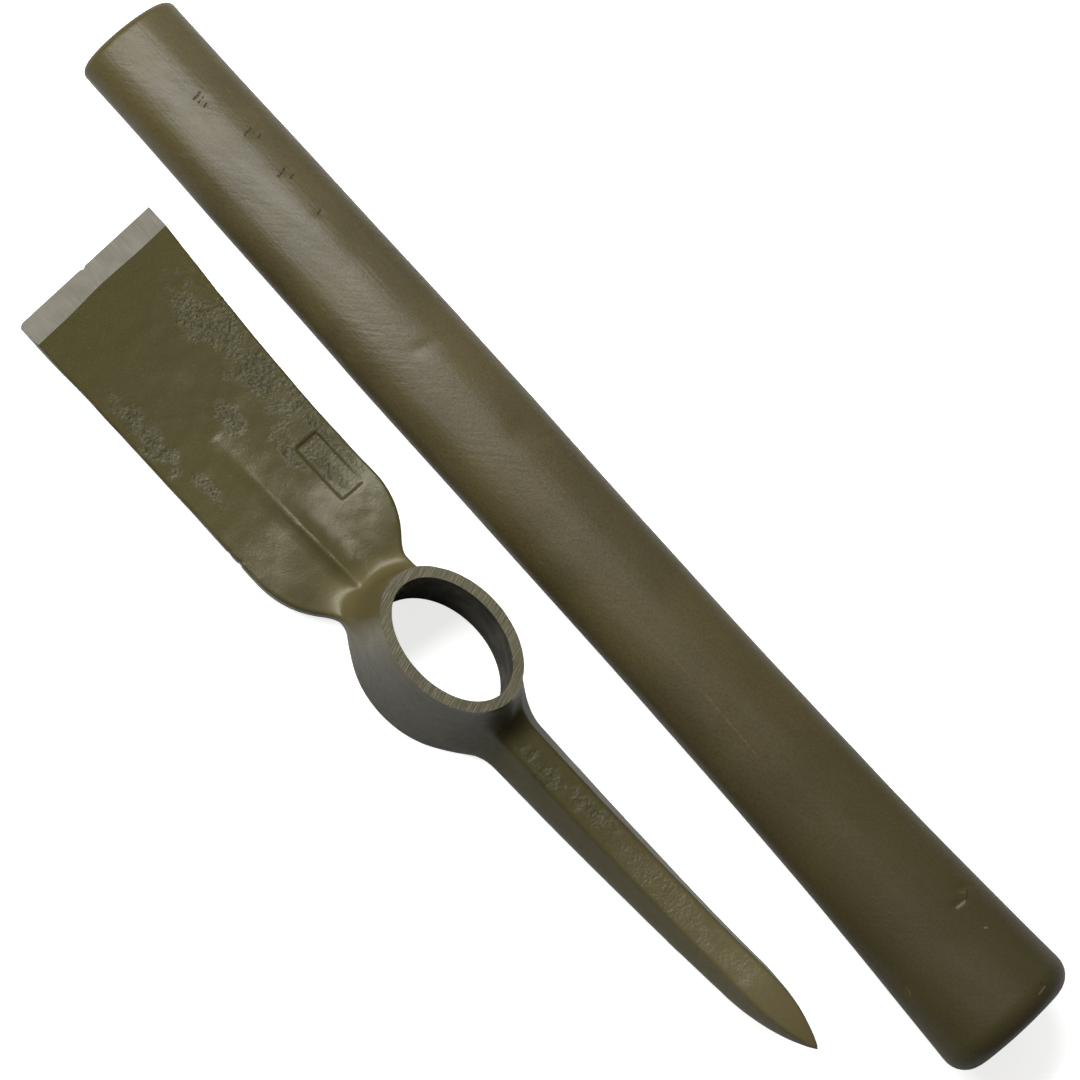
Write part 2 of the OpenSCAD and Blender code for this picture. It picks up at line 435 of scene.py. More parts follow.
    def skin(self) -> Skin:
        """Oval sections carried from the grip end to the flared end, then rippled and dented.

        A ring's point lies at the half wide side times the cosine and the half thin side times the
        sine of its angle, and moves along the oval's normal by the ripples less the dents.

        Returns:
            Points and faces in the handle's own frame, with its length along X.
        """
        run, scale, draw = self.rings()
        wide, thin = (((half - draw) * scale)[:, None] for half in self.half_sizes(run))
        turn = self.turns()[None, :]
        along = np.broadcast_to((self.length / 2.0 - run)[:, None], (len(run), self.sides))
        points = np.stack([along, wide * np.cos(turn), thin * np.sin(turn)], axis=-1).reshape(-1, 3)
        normal = np.stack([np.zeros_like(along), np.cos(turn) * thin, np.sin(turn) * wide], axis=-1)
        normal = normal.reshape(-1, 3) / np.linalg.norm(normal.reshape(-1, 3), axis=1)[:, None]
        lift = sum((grain.at(points) - 1.0) * height for grain, height in self.wobbles)
        on_side = np.repeat(scale >= 1.0, self.sides)
        points = points + normal * ((lift - self.bruise(points)) * on_side)[:, None]
        half = self.length / 2.0
        poles = np.array([[-half, 0.0, 0.0], [half, 0.0, 0.0]])
        return tube(points.reshape(len(run), self.sides, 3), poles)

    def lengthwise_map(self) -> Array:
        """Flat map of the skin in metres: distance along, and distance round the shank's oval.

        Returns:
            One place for each corner of each face, in the order of the faces.
        """
        run, _, _ = self.rings()
        turn = np.append(self.turns(), 1.5 * math.pi)
        across, up = self.shank.wide * np.cos(turn), self.shank.thin * np.sin(turn)
        round_way = np.append(0.0, np.cumsum(np.hypot(np.diff(across), np.diff(up)) / 2.0))
        ring, side = np.meshgrid(np.arange(len(run) - 1), np.arange(self.sides), indexing="ij")
        rows = np.stack([ring, ring, ring + 1, ring + 1], axis=-1).reshape(-1)
        columns = np.stack([side, side + 1, side + 1, side], axis=-1).reshape(-1)
        quads = np.stack([self.length / 2.0 - run[rows], round_way[columns]], axis=-1)
        around = np.arange(self.sides)
        first = np.stack([around, around + 1, around], axis=-1).reshape(-1)
        last = np.stack([around, around, around + 1], axis=-1).reshape(-1)
        ends = [np.stack([np.full(first.shape, -self.length / 2.0), round_way[first]], axis=-1),
                np.stack([np.full(last.shape, self.length / 2.0), round_way[last]], axis=-1)]
        return np.concatenate([quads, *ends])

    def lay_down(self, points: Array) -> Array:
        """Turns and moves the handle so that flare and grip both rest on the floor.

        The tilt's tangent is the difference of the two half heights over the way between them.

        Args:
            points: Points in the handle's own frame.

        Returns:
            The points in the shared frame.
        """
        low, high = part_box("handle")
        flare_foot = float(self.half_sizes(np.array(self.flare_round))[1])
        grip_foot = self.grip.thin / 2.0
        between = self.length - self.grip_round - self.flare_round
        tilt = math.atan((flare_foot - grip_foot) / between)
        lift = (flare_foot + grip_foot) / 2.0 / math.cos(tilt)
        along, across, up = points.T
        return np.stack([
            along * math.cos(tilt) - up * math.sin(tilt),
            across + (low[1] + high[1]) / 2.0,
            along * math.sin(tilt) + up * math.cos(tilt) + lift,
        ], axis=-1)

    def build(self, finish: Material) -> bpy.types.Object:
        """Makes the handle's piece and dresses it.

        Args:
            finish: The painted wood's material.

        Returns:
            The handle, in place of its CAD solid.
        """
        points, faces = self.skin()
        piece = make_piece("painted_handle", (self.lay_down(points), faces), [finish])
        flat = piece.data.uv_layers.new(name="lengthwise")
        flat.data.foreach_set("uv", self.lengthwise_map().ravel())
        piece.data.shade_smooth()
        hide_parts("handle")
        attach(piece, "handle")
        return piece


# ---- Head ----


def oval_distance(x: Array, y: Array, wide: Array, thin: Array) -> Array:
    """Distance outside an oval, to first order: its level less one, over that level's slope.

    Args:
        x: Places along the wide side.
        y: Places along the thin side.
        wide: Half wide side.
        thin: Half thin side.

    Returns:
        The distance, negative inside.
    """
    level = np.hypot(x / wide, y / thin)
    slope = np.hypot(x / wide**2, y / thin**2)
    return (level - 1.0) * np.where(level > 1e-6, level / np.maximum(slope, 1e-9), thin)


@dataclass
class Eye:
    """The tapered oval collar that the handle jams in."""

    handle: Handle
    height: float = 0.035
    seat: float = 0.020
    clearance: float = 0.00015
    rim_wall: float = 0.0034
    foot_wall: float = 0.0063
    foot_round: float = 0.002
    spare: float = 0.0012

    def hole(self, z: Array) -> tuple[Array, Array]:
        """Half sides of the hole at a height: the seated handle there, with the clearance."""
        wide, thin = self.handle.half_sizes(self.seat + z)
        return wide + self.clearance, thin + self.clearance

    def outside(self, z: Array) -> tuple[Array, Array]:
        """Half sides of the outside at a height: the hole and the wall, which thins upwards.

        Args:
            z: Heights.

        Returns:
            Half sizes across the wide side and across the thin side.
        """
        wall = blend(self.foot_wall, self.rim_wall, z / self.height)
        wide, thin = self.hole(z)
        return wide + wall, thin + wall

    def rim_reach(self) -> float:
        """Distance from the eye's middle to the small rim's outside, along the head."""
        return float(self.outside(np.array(self.height))[0])

    def foot_reach(self) -> float:
        """Distance from the eye's middle to the large rim's outside, along the head."""
        return float(self.outside(np.array(0.0))[0])

    def value(self, x: Array, y: Array, z: Array) -> Array:
        """Field of the collar: outside its oval or below its rounded foot is positive.

        The collar stands a little higher than its rim, and the file takes that off.

        Args:
            x: Places along the head.
            y: Places across the head.
            z: Heights.

        Returns:
            The field.
        """
        wall = soft_max(oval_distance(x, y, *self.outside(z)), -z, self.foot_round)
        return np.maximum(wall, z - self.height - self.spare)


@dataclass
class Blade:
    """The hoe blade with its rib, its blank stamped panel and the ramp up to the small rim."""

    eye: Eye
    edge_reach: float = 0.156
    edge_width: float = 0.0544
    waist_width: float = 0.0494
    waist_from_eye: float = 0.080
    waist_power: float = 1.3
    shoulder_from_eye: float = 0.0525
    shoulder_lead: float = 0.002
    shoulder_radius: float = 0.0305
    neck_width: float = 0.028
    neck_blend: float = 0.003
    neck_thickness: float = 0.0065
    plate_thickness: float = 0.0036
    edge_thickness: float = 0.0008
    edge_skew: float = math.tan(math.radians(3.0))
    bevel_length: float = 0.008
    base_height: float = 0.005
    lift: float = 0.012
    side_round: float = 0.0010
    under_round: float = 0.0050
    edge_under_round: float = 0.0010
    edge_under_length: float = 0.030
    side_nicks: tuple[tuple[float, float], ...] = ((0.0600, 0.0004), (0.0645, 0.0002))
    side_nick_half: float = 0.0007
    rib_from_eye: float = 0.093
    rib_height: float = 0.0022
    rib_steep_width: float = 0.0038
    rib_gentle_width: float = 0.0092
    rib_offset: float = 0.0030
    rib_far_offset: float = 0.0047
    rib_growth: float = 0.6
    rib_power: float = 1.35
    rib_crest: float = 0.0005
    swell: float = 0.0009
    swell_from_eye: float = 0.066
    swell_length: float = 0.030
    swell_shares: tuple[float, float] = (0.5, 1.3)
    swell_half: float = 0.012
    ramp_length: float = 0.014
    ramp_spare: float = 0.0055
    ramp_power: float = 5.0
    ramp_drop: float = 0.0012
    ramp_flat: float = 0.0105
    ramp_half: float = 0.0175
    ramp_blend: float = 0.0020
    stamp_from_eye: float = 0.0645
    stamp_offset: float = 0.0155
    stamp_length: float = 0.0205
    stamp_width: float = 0.0083
    stamp_depth: float = 0.0007
    stamp_near: float = 0.55
    stamp_slope: float = 0.0008
    inner_end: float = 0.011
    inner_blend: float = 0.012
    probe: float = 0.0002

    def half_width(self, d: Array, start: float) -> Array:
        """Half width at a distance from the eye: a flared waist, then a round shoulder to the neck.

        Args:
            d: Distances from the eye's middle.
            start: Distance at which the shoulder starts on this side.

        Returns:
            The half widths.
        """
        widen = clamp01((d - self.waist_from_eye) / (self.edge_reach - self.waist_from_eye))
        flare = (self.edge_width - self.waist_width) / 2.0
        waist = self.waist_width / 2.0 + flare * widen**self.waist_power
        fall = np.maximum(0.0, self.shoulder_radius**2 - np.maximum(0.0, start - d) ** 2)
        shoulder = self.waist_width / 2.0 - self.shoulder_radius + np.sqrt(fall)
        shoulder = soft_max(shoulder, self.neck_width / 2.0, self.neck_blend)
        return np.where(d > start, waist, shoulder)

    def side(self, d: Array, y: Array) -> Array:
        """Distance outside the blade's outline, seen from above: the larger one of its two sides.

        Args:
            d: Distances from the eye's middle.
            y: Places across the head.

        Returns:
            The distances, negative inside.
        """
        stamped, plain = self.shoulder_from_eye + self.shoulder_lead, self.shoulder_from_eye

        def beyond(across: Array, start: float) -> Array:
            """Distance beyond one side, square to its slope.

            Args:
                across: Places across the head, towards that side.
                start: Distance at which its shoulder starts.

            Returns:
                The distances, negative inside.
            """
            after, before = (self.half_width(d + step, start) for step in (self.probe, -self.probe))
            slope = (after - before) / 2.0
            return (across - self.half_width(d, start)) / np.hypot(1.0, slope / self.probe)

        half = self.side_nick_half
        nick = sum(depth * np.exp(-(((d - place) / half) ** 2)) for place, depth in self.side_nicks)
        return np.maximum(beyond(y, stamped), beyond(-y, plain) + nick)

    def way(self, d: Array, end: float) -> Array:
        """Share of the way from the shoulder to an end that is some distance from the eye."""
        return clamp01((d - self.shoulder_from_eye) / (end - self.shoulder_from_eye))

    def middle(self, d: Array) -> Array:
        """Height of the blade's middle, which rises as a parabola to the edge."""
        return self.base_height + self.lift * self.way(d, self.edge_reach) ** 2

    def thickness(self, d: Array) -> Array:
        """Thickness of the blade before it is ground, which falls evenly to the bevel."""
        share = self.way(d, self.edge_reach - self.bevel_length)
        return blend(self.neck_thickness, self.plate_thickness, share)

    def bottom(self, d: Array) -> Array:
        """Height of the underside: the middle less half the thickness."""
        return self.middle(d) - self.thickness(d) / 2.0

    def plate_top(self, d: Array, y: Array) -> Array:
        """Height of the plate's upper side, which swells towards the neck, less on the plain side.

        Args:
            d: Distances from the eye's middle.
            y: Places across the head.

        Returns:
            The heights, before rib, ramp and panel.
        """
        share = blend(*self.swell_shares, smooth((y / self.swell_half + 1.0) / 2.0))
        swell = self.swell * share * smooth((self.swell_from_eye - d) / self.swell_length)
        return self.middle(d) + self.thickness(d) / 2.0 + swell

    def rib_rise(self, d: Array, y: Array) -> Array:
        """Rise of the rib: a power of the nearness to its crest, growing towards the neck.

        Args:
            d: Distances from the eye's middle.
            y: Places across the head.

        Returns:
            The rises, steeper on one side of the crest.
        """
        reach = self.rib_from_eye - self.shoulder_from_eye
        grown = clamp01((self.rib_from_eye - d) / reach) ** self.rib_growth
        way = clamp01((self.rib_from_eye - d) / (self.rib_from_eye - self.eye.rim_reach()))
        from_crest = y + blend(self.rib_far_offset, self.rib_offset, way)
        width = np.where(from_crest < 0.0, self.rib_steep_width, self.rib_gentle_width)
        away = np.hypot(from_crest, self.rib_crest) - self.rib_crest
        return self.rib_height * grown * clamp01(1.0 - away / width) ** self.rib_power

    def ramp_climb(self, d: Array, y: Array) -> Array:
        """Way up the ramp: 0 a ramp's length outside the small rim's oval, 1 at the oval.

        Args:
            d: Distances from the eye's middle.
            y: Places across the head.

        Returns:
            The shares of the way.
        """
        beyond = oval_distance(-d, y, *self.eye.outside(np.array(self.eye.height)))
        length = self.ramp_length + self.ramp_spare * clamp01(-y / self.ramp_flat)
        return 1.0 - clamp01(beyond / length)

    def ramp_rise(self, d: Array, y: Array) -> Array:
        """Rise of the ramp: a power of its way to the small rim, faded out at the neck's sides.

        Args:
            d: Distances from the eye's middle.
            y: Places across the head.

        Returns:
            The rises above the plate.
        """
        rise = self.eye.height - self.ramp_drop - self.plate_top(d, y)
        fade = 1.0 - smooth((np.abs(y) - self.ramp_flat) / (self.ramp_half - self.ramp_flat))
        return rise * self.ramp_climb(d, y) ** self.ramp_power * fade

    def stamp_fall(self, d: Array, y: Array) -> Array:
        """Fall into the blank stamped panel, which deepens away from the eye and has sloped walls.

        Args:
            d: Distances from the eye's middle.
            y: Places across the head.

        Returns:
            The falls, 0 outside the panel.
        """
        along, across = d - self.stamp_from_eye, y - self.stamp_offset
        beyond = np.maximum(np.abs(along) - self.stamp_length / 2.0,
                            np.abs(across) - self.stamp_width / 2.0)
        deep = blend(self.stamp_near, 1.0, clamp01(along / self.stamp_length + 0.5))
        return self.stamp_depth * deep * smooth(0.5 - beyond / self.stamp_slope)

    def top(self, d: Array, y: Array) -> Array:
        """Height of the upper side: the plate and the larger of rib and ramp, less the panel."""
        rise = soft_max(self.rib_rise(d, y), self.ramp_rise(d, y), self.ramp_blend)
        return self.plate_top(d, y) + rise - self.stamp_fall(d, y)

    def value(self, x: Array, y: Array, z: Array) -> Array:
        """Field of the blade: positive outside its outline, above its top and below its underside.

        Heights are divided by the length of their slope, which makes them distances.

        Args:
            x: Places along the head.
            y: Places across the head.
            z: Heights.

        Returns:
            The field.
        """
        widen = clamp01((-x - self.waist_from_eye) / (self.edge_reach - self.waist_from_eye))
        d = -x - y * self.edge_skew * widen
        step = self.probe
        along = (self.top(d + step, y) - self.top(d - step, y)) / (2.0 * step)
        across = (self.top(d, y + step) - self.top(d, y - step)) / (2.0 * step)
        above = (z - self.top(d, y)) / np.sqrt(1.0 + along**2 + across**2)
        below = self.bottom(d) - z
        side = self.side(d, y)
        fade = self.edge_under_length - self.bevel_length
        near_edge = smooth((d - self.edge_reach + self.edge_under_length) / fade)
        under_round = blend(self.under_round, self.edge_under_round, near_edge)
        upper, lower = soft_max(above, side, self.side_round), soft_max(below, side, under_round)
        inside = soft_max(np.maximum(upper, lower), self.inner_end - d, self.inner_blend)
        return np.maximum(inside, d - self.edge_reach - self.side_round)


@dataclass
class Pick:
    """The eight-sided pick, widest low down, drawn to a point."""

    eye: Eye
    reach: float = 0.158
    root: Oval = Oval(0.0198, 0.016)
    tip: Oval = Oval(0.0156, 0.011)
    facet_width: float = 0.0096
    point_length: float = 0.030
    point_power: float = 0.85
    base_height: float = 0.0058
    lift: float = 0.017
    lift_power: float = 2.4
    low_share: float = 0.32
    band_share: float = 0.1
    foot_share: float = 0.72
    ridge_round: float = 0.0013
    spread_from_tip: float = 0.036
    spread_length: float = 0.028
    spread_share: float = 0.74
    inner_end: float = 0.011
    least: float = 1e-5

    def middle(self, x: Array) -> Array:
        """Height of the widest line, which rises by a power of the way to the point."""
        way = clamp01((x - self.eye.rim_reach()) / (self.reach - self.eye.rim_reach()))
        return self.base_height + self.lift * way**self.lift_power

    def scale(self, x: Array) -> Array:
        """Share of the section that is left over the rounded point: a parabola to a power."""
        left = clamp01((self.reach - x) / self.point_length)
        return np.maximum((1.0 - (1.0 - left) ** 2) ** self.point_power, self.least)

    def value(self, x: Array, y: Array, z: Array) -> Array:
        """Field of the pick: the largest distance outside its flats, with soft ridges between them.

        Each side of the section is a line through two of its corners, carried along the pick. Near
        the point the top flat spreads over nearly the whole width.

        Args:
            x: Places along the head.
            y: Places across the head.
            z: Heights.

        Returns:
            The field.
        """
        start = self.eye.rim_reach()
        way = clamp01((x - start) / (self.reach - self.point_length - start))
        scale = self.scale(x)
        half = blend(self.root.wide, self.tip.wide, way) * scale / 2.0
        tall = blend(self.root.thin, self.tip.thin, way) * scale
        spread = smooth((x - self.reach + self.spread_from_tip) / self.spread_length)
        facet = blend(self.facet_width * scale / 2.0, half * self.spread_share, spread)
        band, depth = tall * self.band_share, tall * self.low_share
        top = tall * (1.0 - self.low_share)
        foot = half * self.foot_share
        out, up = np.abs(y) - half, z - self.middle(x)
        rise, run = top - band, half - facet
        upper = (out * rise + (up - band) * run) / np.hypot(rise, run)
        rise, run = depth - band, half - foot
        lower = (out * rise - (up + band) * run) / np.hypot(rise, run)
        ridge = self.ridge_round * scale
        roof, keel = soft_max(up - top, upper, ridge), soft_max(lower, -depth - up, ridge)
        section = soft_max(roof, keel, ridge)
        return np.maximum(soft_max(section, out, ridge), self.inner_end - x)


@dataclass(frozen=True)
class PitPatch:
    """Forging scale pressed into the top: its middle, half sizes, grain, depth and density."""

    along: float
    across: float
    half_length: float
    half_width: float
    grain: float
    depth: float
    density: float = 1.0


@dataclass
class Head:
    """One painted forging: hoe blade, oval eye and pick."""

    handle: Handle
    lay_angle: float = math.radians(1.3)
    eye: Eye = field(init=False)
    blade: Blade = field(init=False)
    pick: Pick = field(init=False)
    neck_fillet: float = 0.0045
    rim_fillet: float = 0.0012
    root_fillet: float = 0.0085
    floor_round: float = 0.0004
    step: float = 0.00062
    margin: float = 0.0045
    ripples: tuple[tuple[Grain, float], ...] = (
        (Grain(seed=21, size=0.009), 0.00008),
        (Grain(seed=22, size=0.0035), 0.00004),
    )
    pits: tuple[PitPatch, ...] = (
        PitPatch(-0.116, 0.0165, 0.017, 0.0062, 0.0014, 0.00006),
        PitPatch(-0.096, 0.0180, 0.016, 0.0055, 0.0014, 0.00007),
        PitPatch(-0.076, 0.0210, 0.013, 0.0028, 0.0014, 0.00008),
        PitPatch(-0.106, -0.0195, 0.012, 0.0038, 0.0017, 0.00009),
        PitPatch(-0.0955, 0.0027, 0.005, 0.0032, 0.0017, 0.00008),
        PitPatch(-0.0835, -0.0165, 0.005, 0.0018, 0.0016, 0.00008),
        PitPatch(-0.0745, 0.0085, 0.006, 0.0020, 0.0016, 0.00014),
        PitPatch(-0.0645, 0.0155, 0.008, 0.0028, 0.0016, 0.00014),
        PitPatch(0.043, -0.0020, 0.012, 0.0040, 0.0018, 0.00022),
        PitPatch(0.062, 0.0005, 0.012, 0.0035, 0.0018, 0.00018),
        PitPatch(0.095, 0.0, 0.034, 0.0050, 0.0015, 0.00006, 0.55),
    )
    bevel_stations: int = 240
    bevel_grain: Grain = Grain(seed=51, size=0.016)
    bevel_wave: float = 0.0004
    corner_rounds: tuple[float, float] = (0.0022, 0.0005)
    nick_across: float = -0.0007
    nick_half_width: float = 0.0006
    nick_depth: float = 0.0005
    drift_rings: int = 24
    even_rounds: int = 3
    settle_rounds: int = 3
    even_share: float = 0.5
    foot_band: float = 0.002
    crease: float = math.radians(38.0)
    pit_rags: tuple[Grain, ...] = (Grain(seed=31, size=0.006), Grain(seed=32, size=0.0025))
    pit_rag: float = 0.6
    pit_reach: float = 1.5
    pit_fade: float = 0.75
    pit_up: tuple[float, float] = (2.0, 0.6)
    pit_holes: tuple[float, float] = (3.0, 0.2)
    pit_seed: int = 40
    stamp_pitting: float = 0.5
    # The neck mask carries painted light; the wall mask, with its pick and rim fades, carries a
    # painted grey reflection.
    neck_climb: float = 2.0
    neck_half: float = 0.020
    neck_fade: float = 0.007
    wall_up: tuple[float, float] = (0.8, 0.4)
    wall_from: float = -0.040
    wall_fade: float = 0.008
    pick_wall: float = 0.50
    pick_wall_fade: float = 0.010
    rim_band: tuple[float, float] = (0.0004, 0.0024)

    def __post_init__(self) -> None:
        """Makes the three forms from the handle that has to fit the eye."""
        self.eye = Eye(self.handle)
        self.blade = Blade(self.eye)
        self.pick = Pick(self.eye)

    def value(self, x: Array, y: Array, z: Array) -> Array:
        """Field of the whole forging: the three forms joined by fillets, flat on the floor.

        Args:
            x: Places along the head, from the eye's middle towards the point.
            y: Places across the head.
            z: Heights above the large rim.

        Returns:
            The field, negative inside.
        """
        fillet = blend(self.neck_fillet, self.rim_fillet, smooth(z / self.eye.height))
        joined = soft_min(self.eye.value(x, y, z), self.blade.value(x, y, z), fillet)
        joined = soft_min(joined, self.pick.value(x, y, z), self.root_fillet)
        return soft_max(joined, -z, self.floor_round)

    def slope(self, points: Array) -> Array:
        """Slope of the field: its values a little to each side, over the way between them.

        Args:
            points: Points in the head's own frame, one row each.

        Returns:
            One slope for each point.
        """
        reach = np.eye(3) * self.blade.probe
        parts = [self.value(*(points + way).T) - self.value(*(points - way).T) for way in reach]
        return np.stack(parts, axis=-1) / (2.0 * self.blade.probe)

    def normals(self, points: Array) -> Array:
        """Directions away from the forging at some points."""
        slope = self.slope(points)
        return slope / np.maximum(np.linalg.norm(slope, axis=1), 1e-6)[:, None]

    def settle(self, points: Array, rounds: int) -> Array:
        """Moves points onto the zero level: the field over its slope, at most a grid step a round.

        Args:
            points: Points near the level, one row each.
            rounds: How often they are moved.

        Returns:
            The moved points.
        """
        for _ in range(rounds):
            slope = self.slope(points)
            steep = np.maximum((slope**2).sum(axis=1), 1e-6)
            move = -slope * (self.value(*points.T) / steep)[:, None]
            length = np.maximum(np.linalg.norm(move, axis=1), 1e-12)
            points = points + move * np.minimum(1.0, self.step / length)[:, None]
        return points

    def patch(self, points: Array, up: Array) -> tuple[Array, Array]:
        """Where forging scale was pressed in, and how deep.

        The share eases off with the distance from a patch's middle over its half sizes, made ragged
        by noise, and only faces that point up have it. The depth is the share times the holes of a
        second noise.

        Args:
            points: Points on the plain forging.
            up: How far each point's normal points up, from -1 to 1.

        Returns:
            Share of pitting at each point, and depth of the pits there.
        """
        share, depth = np.zeros(len(points)), np.zeros(len(points))
        along, across, _ = points.T
        ragged = sum(self.pit_rag * grain.at(points) for grain in self.pit_rags)
        steep, level = self.pit_up
        sharp, open_share = self.pit_holes
        for number, pit in enumerate(self.pits):
            lengthwise, sideways = along - pit.along, across - pit.across
            away = np.hypot(lengthwise / pit.half_length, sideways / pit.half_width)
            here = pit.density * smooth((self.pit_reach - away + ragged) * self.pit_fade)
            here = here * smooth(up * steep - level)
            grain = Grain(seed=self.pit_seed + number, size=pit.grain)
            holes = smooth(grain.at(points) * sharp + open_share)
            share = np.maximum(share, here)
            depth = np.maximum(depth, here * holes * pit.depth)
        stamped = self.blade.stamp_fall(-along, across) / self.blade.stamp_depth
        return np.maximum(share, self.stamp_pitting * stamped), depth

    def forging(self) -> Skin:
        """Skin of the forging off the hammer: the zero level, evened out, rippled and pitted.

        Returns:
            Points and quads in the head's own frame, with the eye's middle at its origin.
        """
        side = max(self.blade.edge_width / 2.0, float(self.eye.outside(np.array(0.0))[1]))
        low = np.array([-self.blade.edge_reach, -side, 0.0]) - self.margin
        high = np.array([self.pick.reach, side, self.eye.height]) + self.margin
        axes = [np.arange(first, last, self.step) for first, last in zip(low, high)]
        values = self.value(axes[0][:, None, None], axes[1][None, :, None], axes[2][None, None, :])
        points, faces = level_skin(values, low, self.step)
        quads = np.array(faces)
        pairs = np.concatenate([quads[:, [corner, (corner + 1) % 4]] for corner in range(4)])
        for _ in range(self.even_rounds):
            points = self.settle(points, rounds=1)
            normal = self.normals(points)
            drift = neighbour_mean(points, pairs) - points
            off_level = normal * (drift * normal).sum(axis=1)[:, None]
            points = points + self.even_share * (drift - off_level)
        points = self.settle(points, self.settle_rounds)
        normal = self.normals(points)
        ripple = sum((grain.at(points) - 1.0) * height for grain, height in self.ripples)
        free = smooth(points[:, 2] / self.foot_band)
        lift = (ripple - self.patch(points, normal[:, 2])[1]) * free
        return points + normal * lift[:, None], faces

    def tower(self, wide: Array | float, thin: Array | float, height: Array) -> Skin:
        """Upright cutter: an oval at each height, from the cosine and the sine of a turn.

        Args:
            wide: Half wide sides.
            thin: Half thin sides.
            height: Heights of the ovals, in a column.

        Returns:
            Points and faces in the head's own frame.
        """
        turn = np.linspace(0.0, 2.0 * math.pi, self.handle.sides, endpoint=False)
        rings = np.broadcast_arrays(wide * np.cos(turn), thin * np.sin(turn), height)
        poles = np.array([[0.0, 0.0, height[0, 0]], [0.0, 0.0, height[-1, 0]]])
        return tube(np.stack(rings, axis=-1), poles)

    def drift(self) -> Skin:
        """Cutter of the eye's hole, through both rims."""
        height = np.linspace(-self.margin, self.eye.height + self.margin, self.drift_rings)[:, None]
        return self.tower(*self.eye.hole(height), height)

    def file(self) -> Skin:
        """Cutter of the small rim: a round slab that takes off all above the rim."""
        height = self.eye.height + np.array([[0.0], [3.0 * self.margin]])
        return self.tower(self.blade.edge_width, self.blade.edge_width, height)

    def grinder(self) -> Skin:
        """Cutter of the bevel: its profile carried across the blade along the ground edge.

        The path follows the edge's skew, falls back by a quarter round at both corners and has one
        nick, which is a bell. The profile runs down past the edge, round above and back down the
        bevel.

        Returns:
            Points and faces in the head's own frame.
        """
        blade, half = self.blade, self.blade.edge_width / 2.0
        path = np.linspace(-half - 2.0 * self.margin, half + 2.0 * self.margin, self.bevel_stations)
        radius = np.where(path < 0.0, *self.corner_rounds)
        over = np.clip(np.abs(path) - half + radius, 0.0, radius)
        corner = radius - np.sqrt(radius**2 - over**2)
        nick = self.nick_depth * np.exp(-(((path - self.nick_across) / self.nick_half_width) ** 2))
        start, edge = blade.edge_reach - blade.bevel_length, np.array(blade.edge_reach)
        edge_foot = float(blade.bottom(edge))
        beyond, above = blade.edge_reach + 4.0 * self.margin, blade.eye.height
        profile = np.array([
            [blade.edge_reach, edge_foot + blade.edge_thickness],
            [blade.edge_reach, edge_foot - self.margin],
            [beyond, edge_foot - self.margin],
            [beyond, above],
            [start, above],
            [start, float(blade.plate_top(np.array(start), np.array(0.0)))],
        ])
        fall, back = np.array([[1.0, 1.0, 1.0, 0.0, 0.0, 0.0], [0.0, 0.0, 0.0, 0.0, 1.0, 1.0]])
        wave = self.bevel_wave * self.bevel_grain.at(path[:, None] * np.array([0.0, 1.0, 0.0]))
        out = profile[None, :, 0] - fall * (corner + nick)[:, None] + back * wave[:, None]
        out = out + (path * blade.edge_skew)[:, None]
        across = np.broadcast_to(path[:, None], out.shape)
        rings = np.stack([-out, across, np.broadcast_to(profile[None, :, 1], out.shape)], axis=-1)
        return tube(rings, rings[[0, -1]].mean(axis=1))

    def lay_down(self, points: Array, middle: Array) -> Array:
        """Turns the head about its eye and moves the eye to its place on the floor.

        Args:
            points: Points in the head's own frame.
            middle: Place of the eye's middle.

        Returns:
            The points in the shared frame.
        """
        cos, sin = math.cos(self.lay_angle), math.sin(self.lay_angle)
        return np.stack([
            points[:, 0] * cos - points[:, 1] * sin + middle[0],
            points[:, 0] * sin + points[:, 1] * cos + middle[1],
            points[:, 2],
        ], axis=-1)

    def head_places(self, points: Array, middle: Array) -> Array:
        """Undoes lay_down.

        Args:
            points: Points in the shared frame.
            middle: Place of the eye's middle.

        Returns:
            The points in the head's own frame.
        """
        cos, sin = math.cos(self.lay_angle), math.sin(self.lay_angle)
        along, across = points[:, 0] - middle[0], points[:, 1] - middle[1]
        return np.stack([
            along * cos + across * sin,
            across * cos - along * sin,
            points[:, 2],
        ], axis=-1)

    def mark_wear(self, mesh: bpy.types.Mesh, middle: Array) -> None:
        """Writes attributes for the finishes: crest, pitting, the pick's painted sheen, neck and
        wall.

        The crest is how far a vertex stands above its neighbours: the mean fall of its edges below
        its normal, spread once over the neighbours. The pick's mask eases in along the pick and
        carries a painted sheen, the neck follows the ramp's way up and carries painted light, and the
        wall is how steep a face is, less at the rim and on the pick, and carries a painted grey
        reflection.

        Args:
            mesh: The finished head.
            middle: Place of the eye's middle.
        """
        count = len(mesh.vertices)
        points, normals = np.empty(count * 3), np.empty(count * 3)
        pairs = np.empty(len(mesh.edges) * 2, dtype=np.int32)
        mesh.vertices.foreach_get("co", points)
        mesh.vertex_normals.foreach_get("vector", normals)
        mesh.edges.foreach_get("vertices", pairs)
        points, normals, pairs = points.reshape(-1, 3), normals.reshape(-1, 3), pairs.reshape(-1, 2)
        here, there = np.concatenate([pairs, pairs[:, ::-1]]).T
        way = points[there] - points[here]
        length = np.maximum(np.linalg.norm(way, axis=1), 1e-9)
        fall = -(way * normals[here]).sum(axis=1) / length
        crest = np.bincount(here, fall, count) / np.bincount(here, minlength=count)
        spread = neighbour_mean(crest[:, None], pairs)[:, 0]
        places = self.head_places(points, middle)
        (along, across, height), up = places.T, normals[:, 2]
        # Mask of the painted sheen along the pick.
        pick_sheen_mask = smooth((along - self.eye.foot_reach()) / (self.pick.reach - self.eye.foot_reach()))
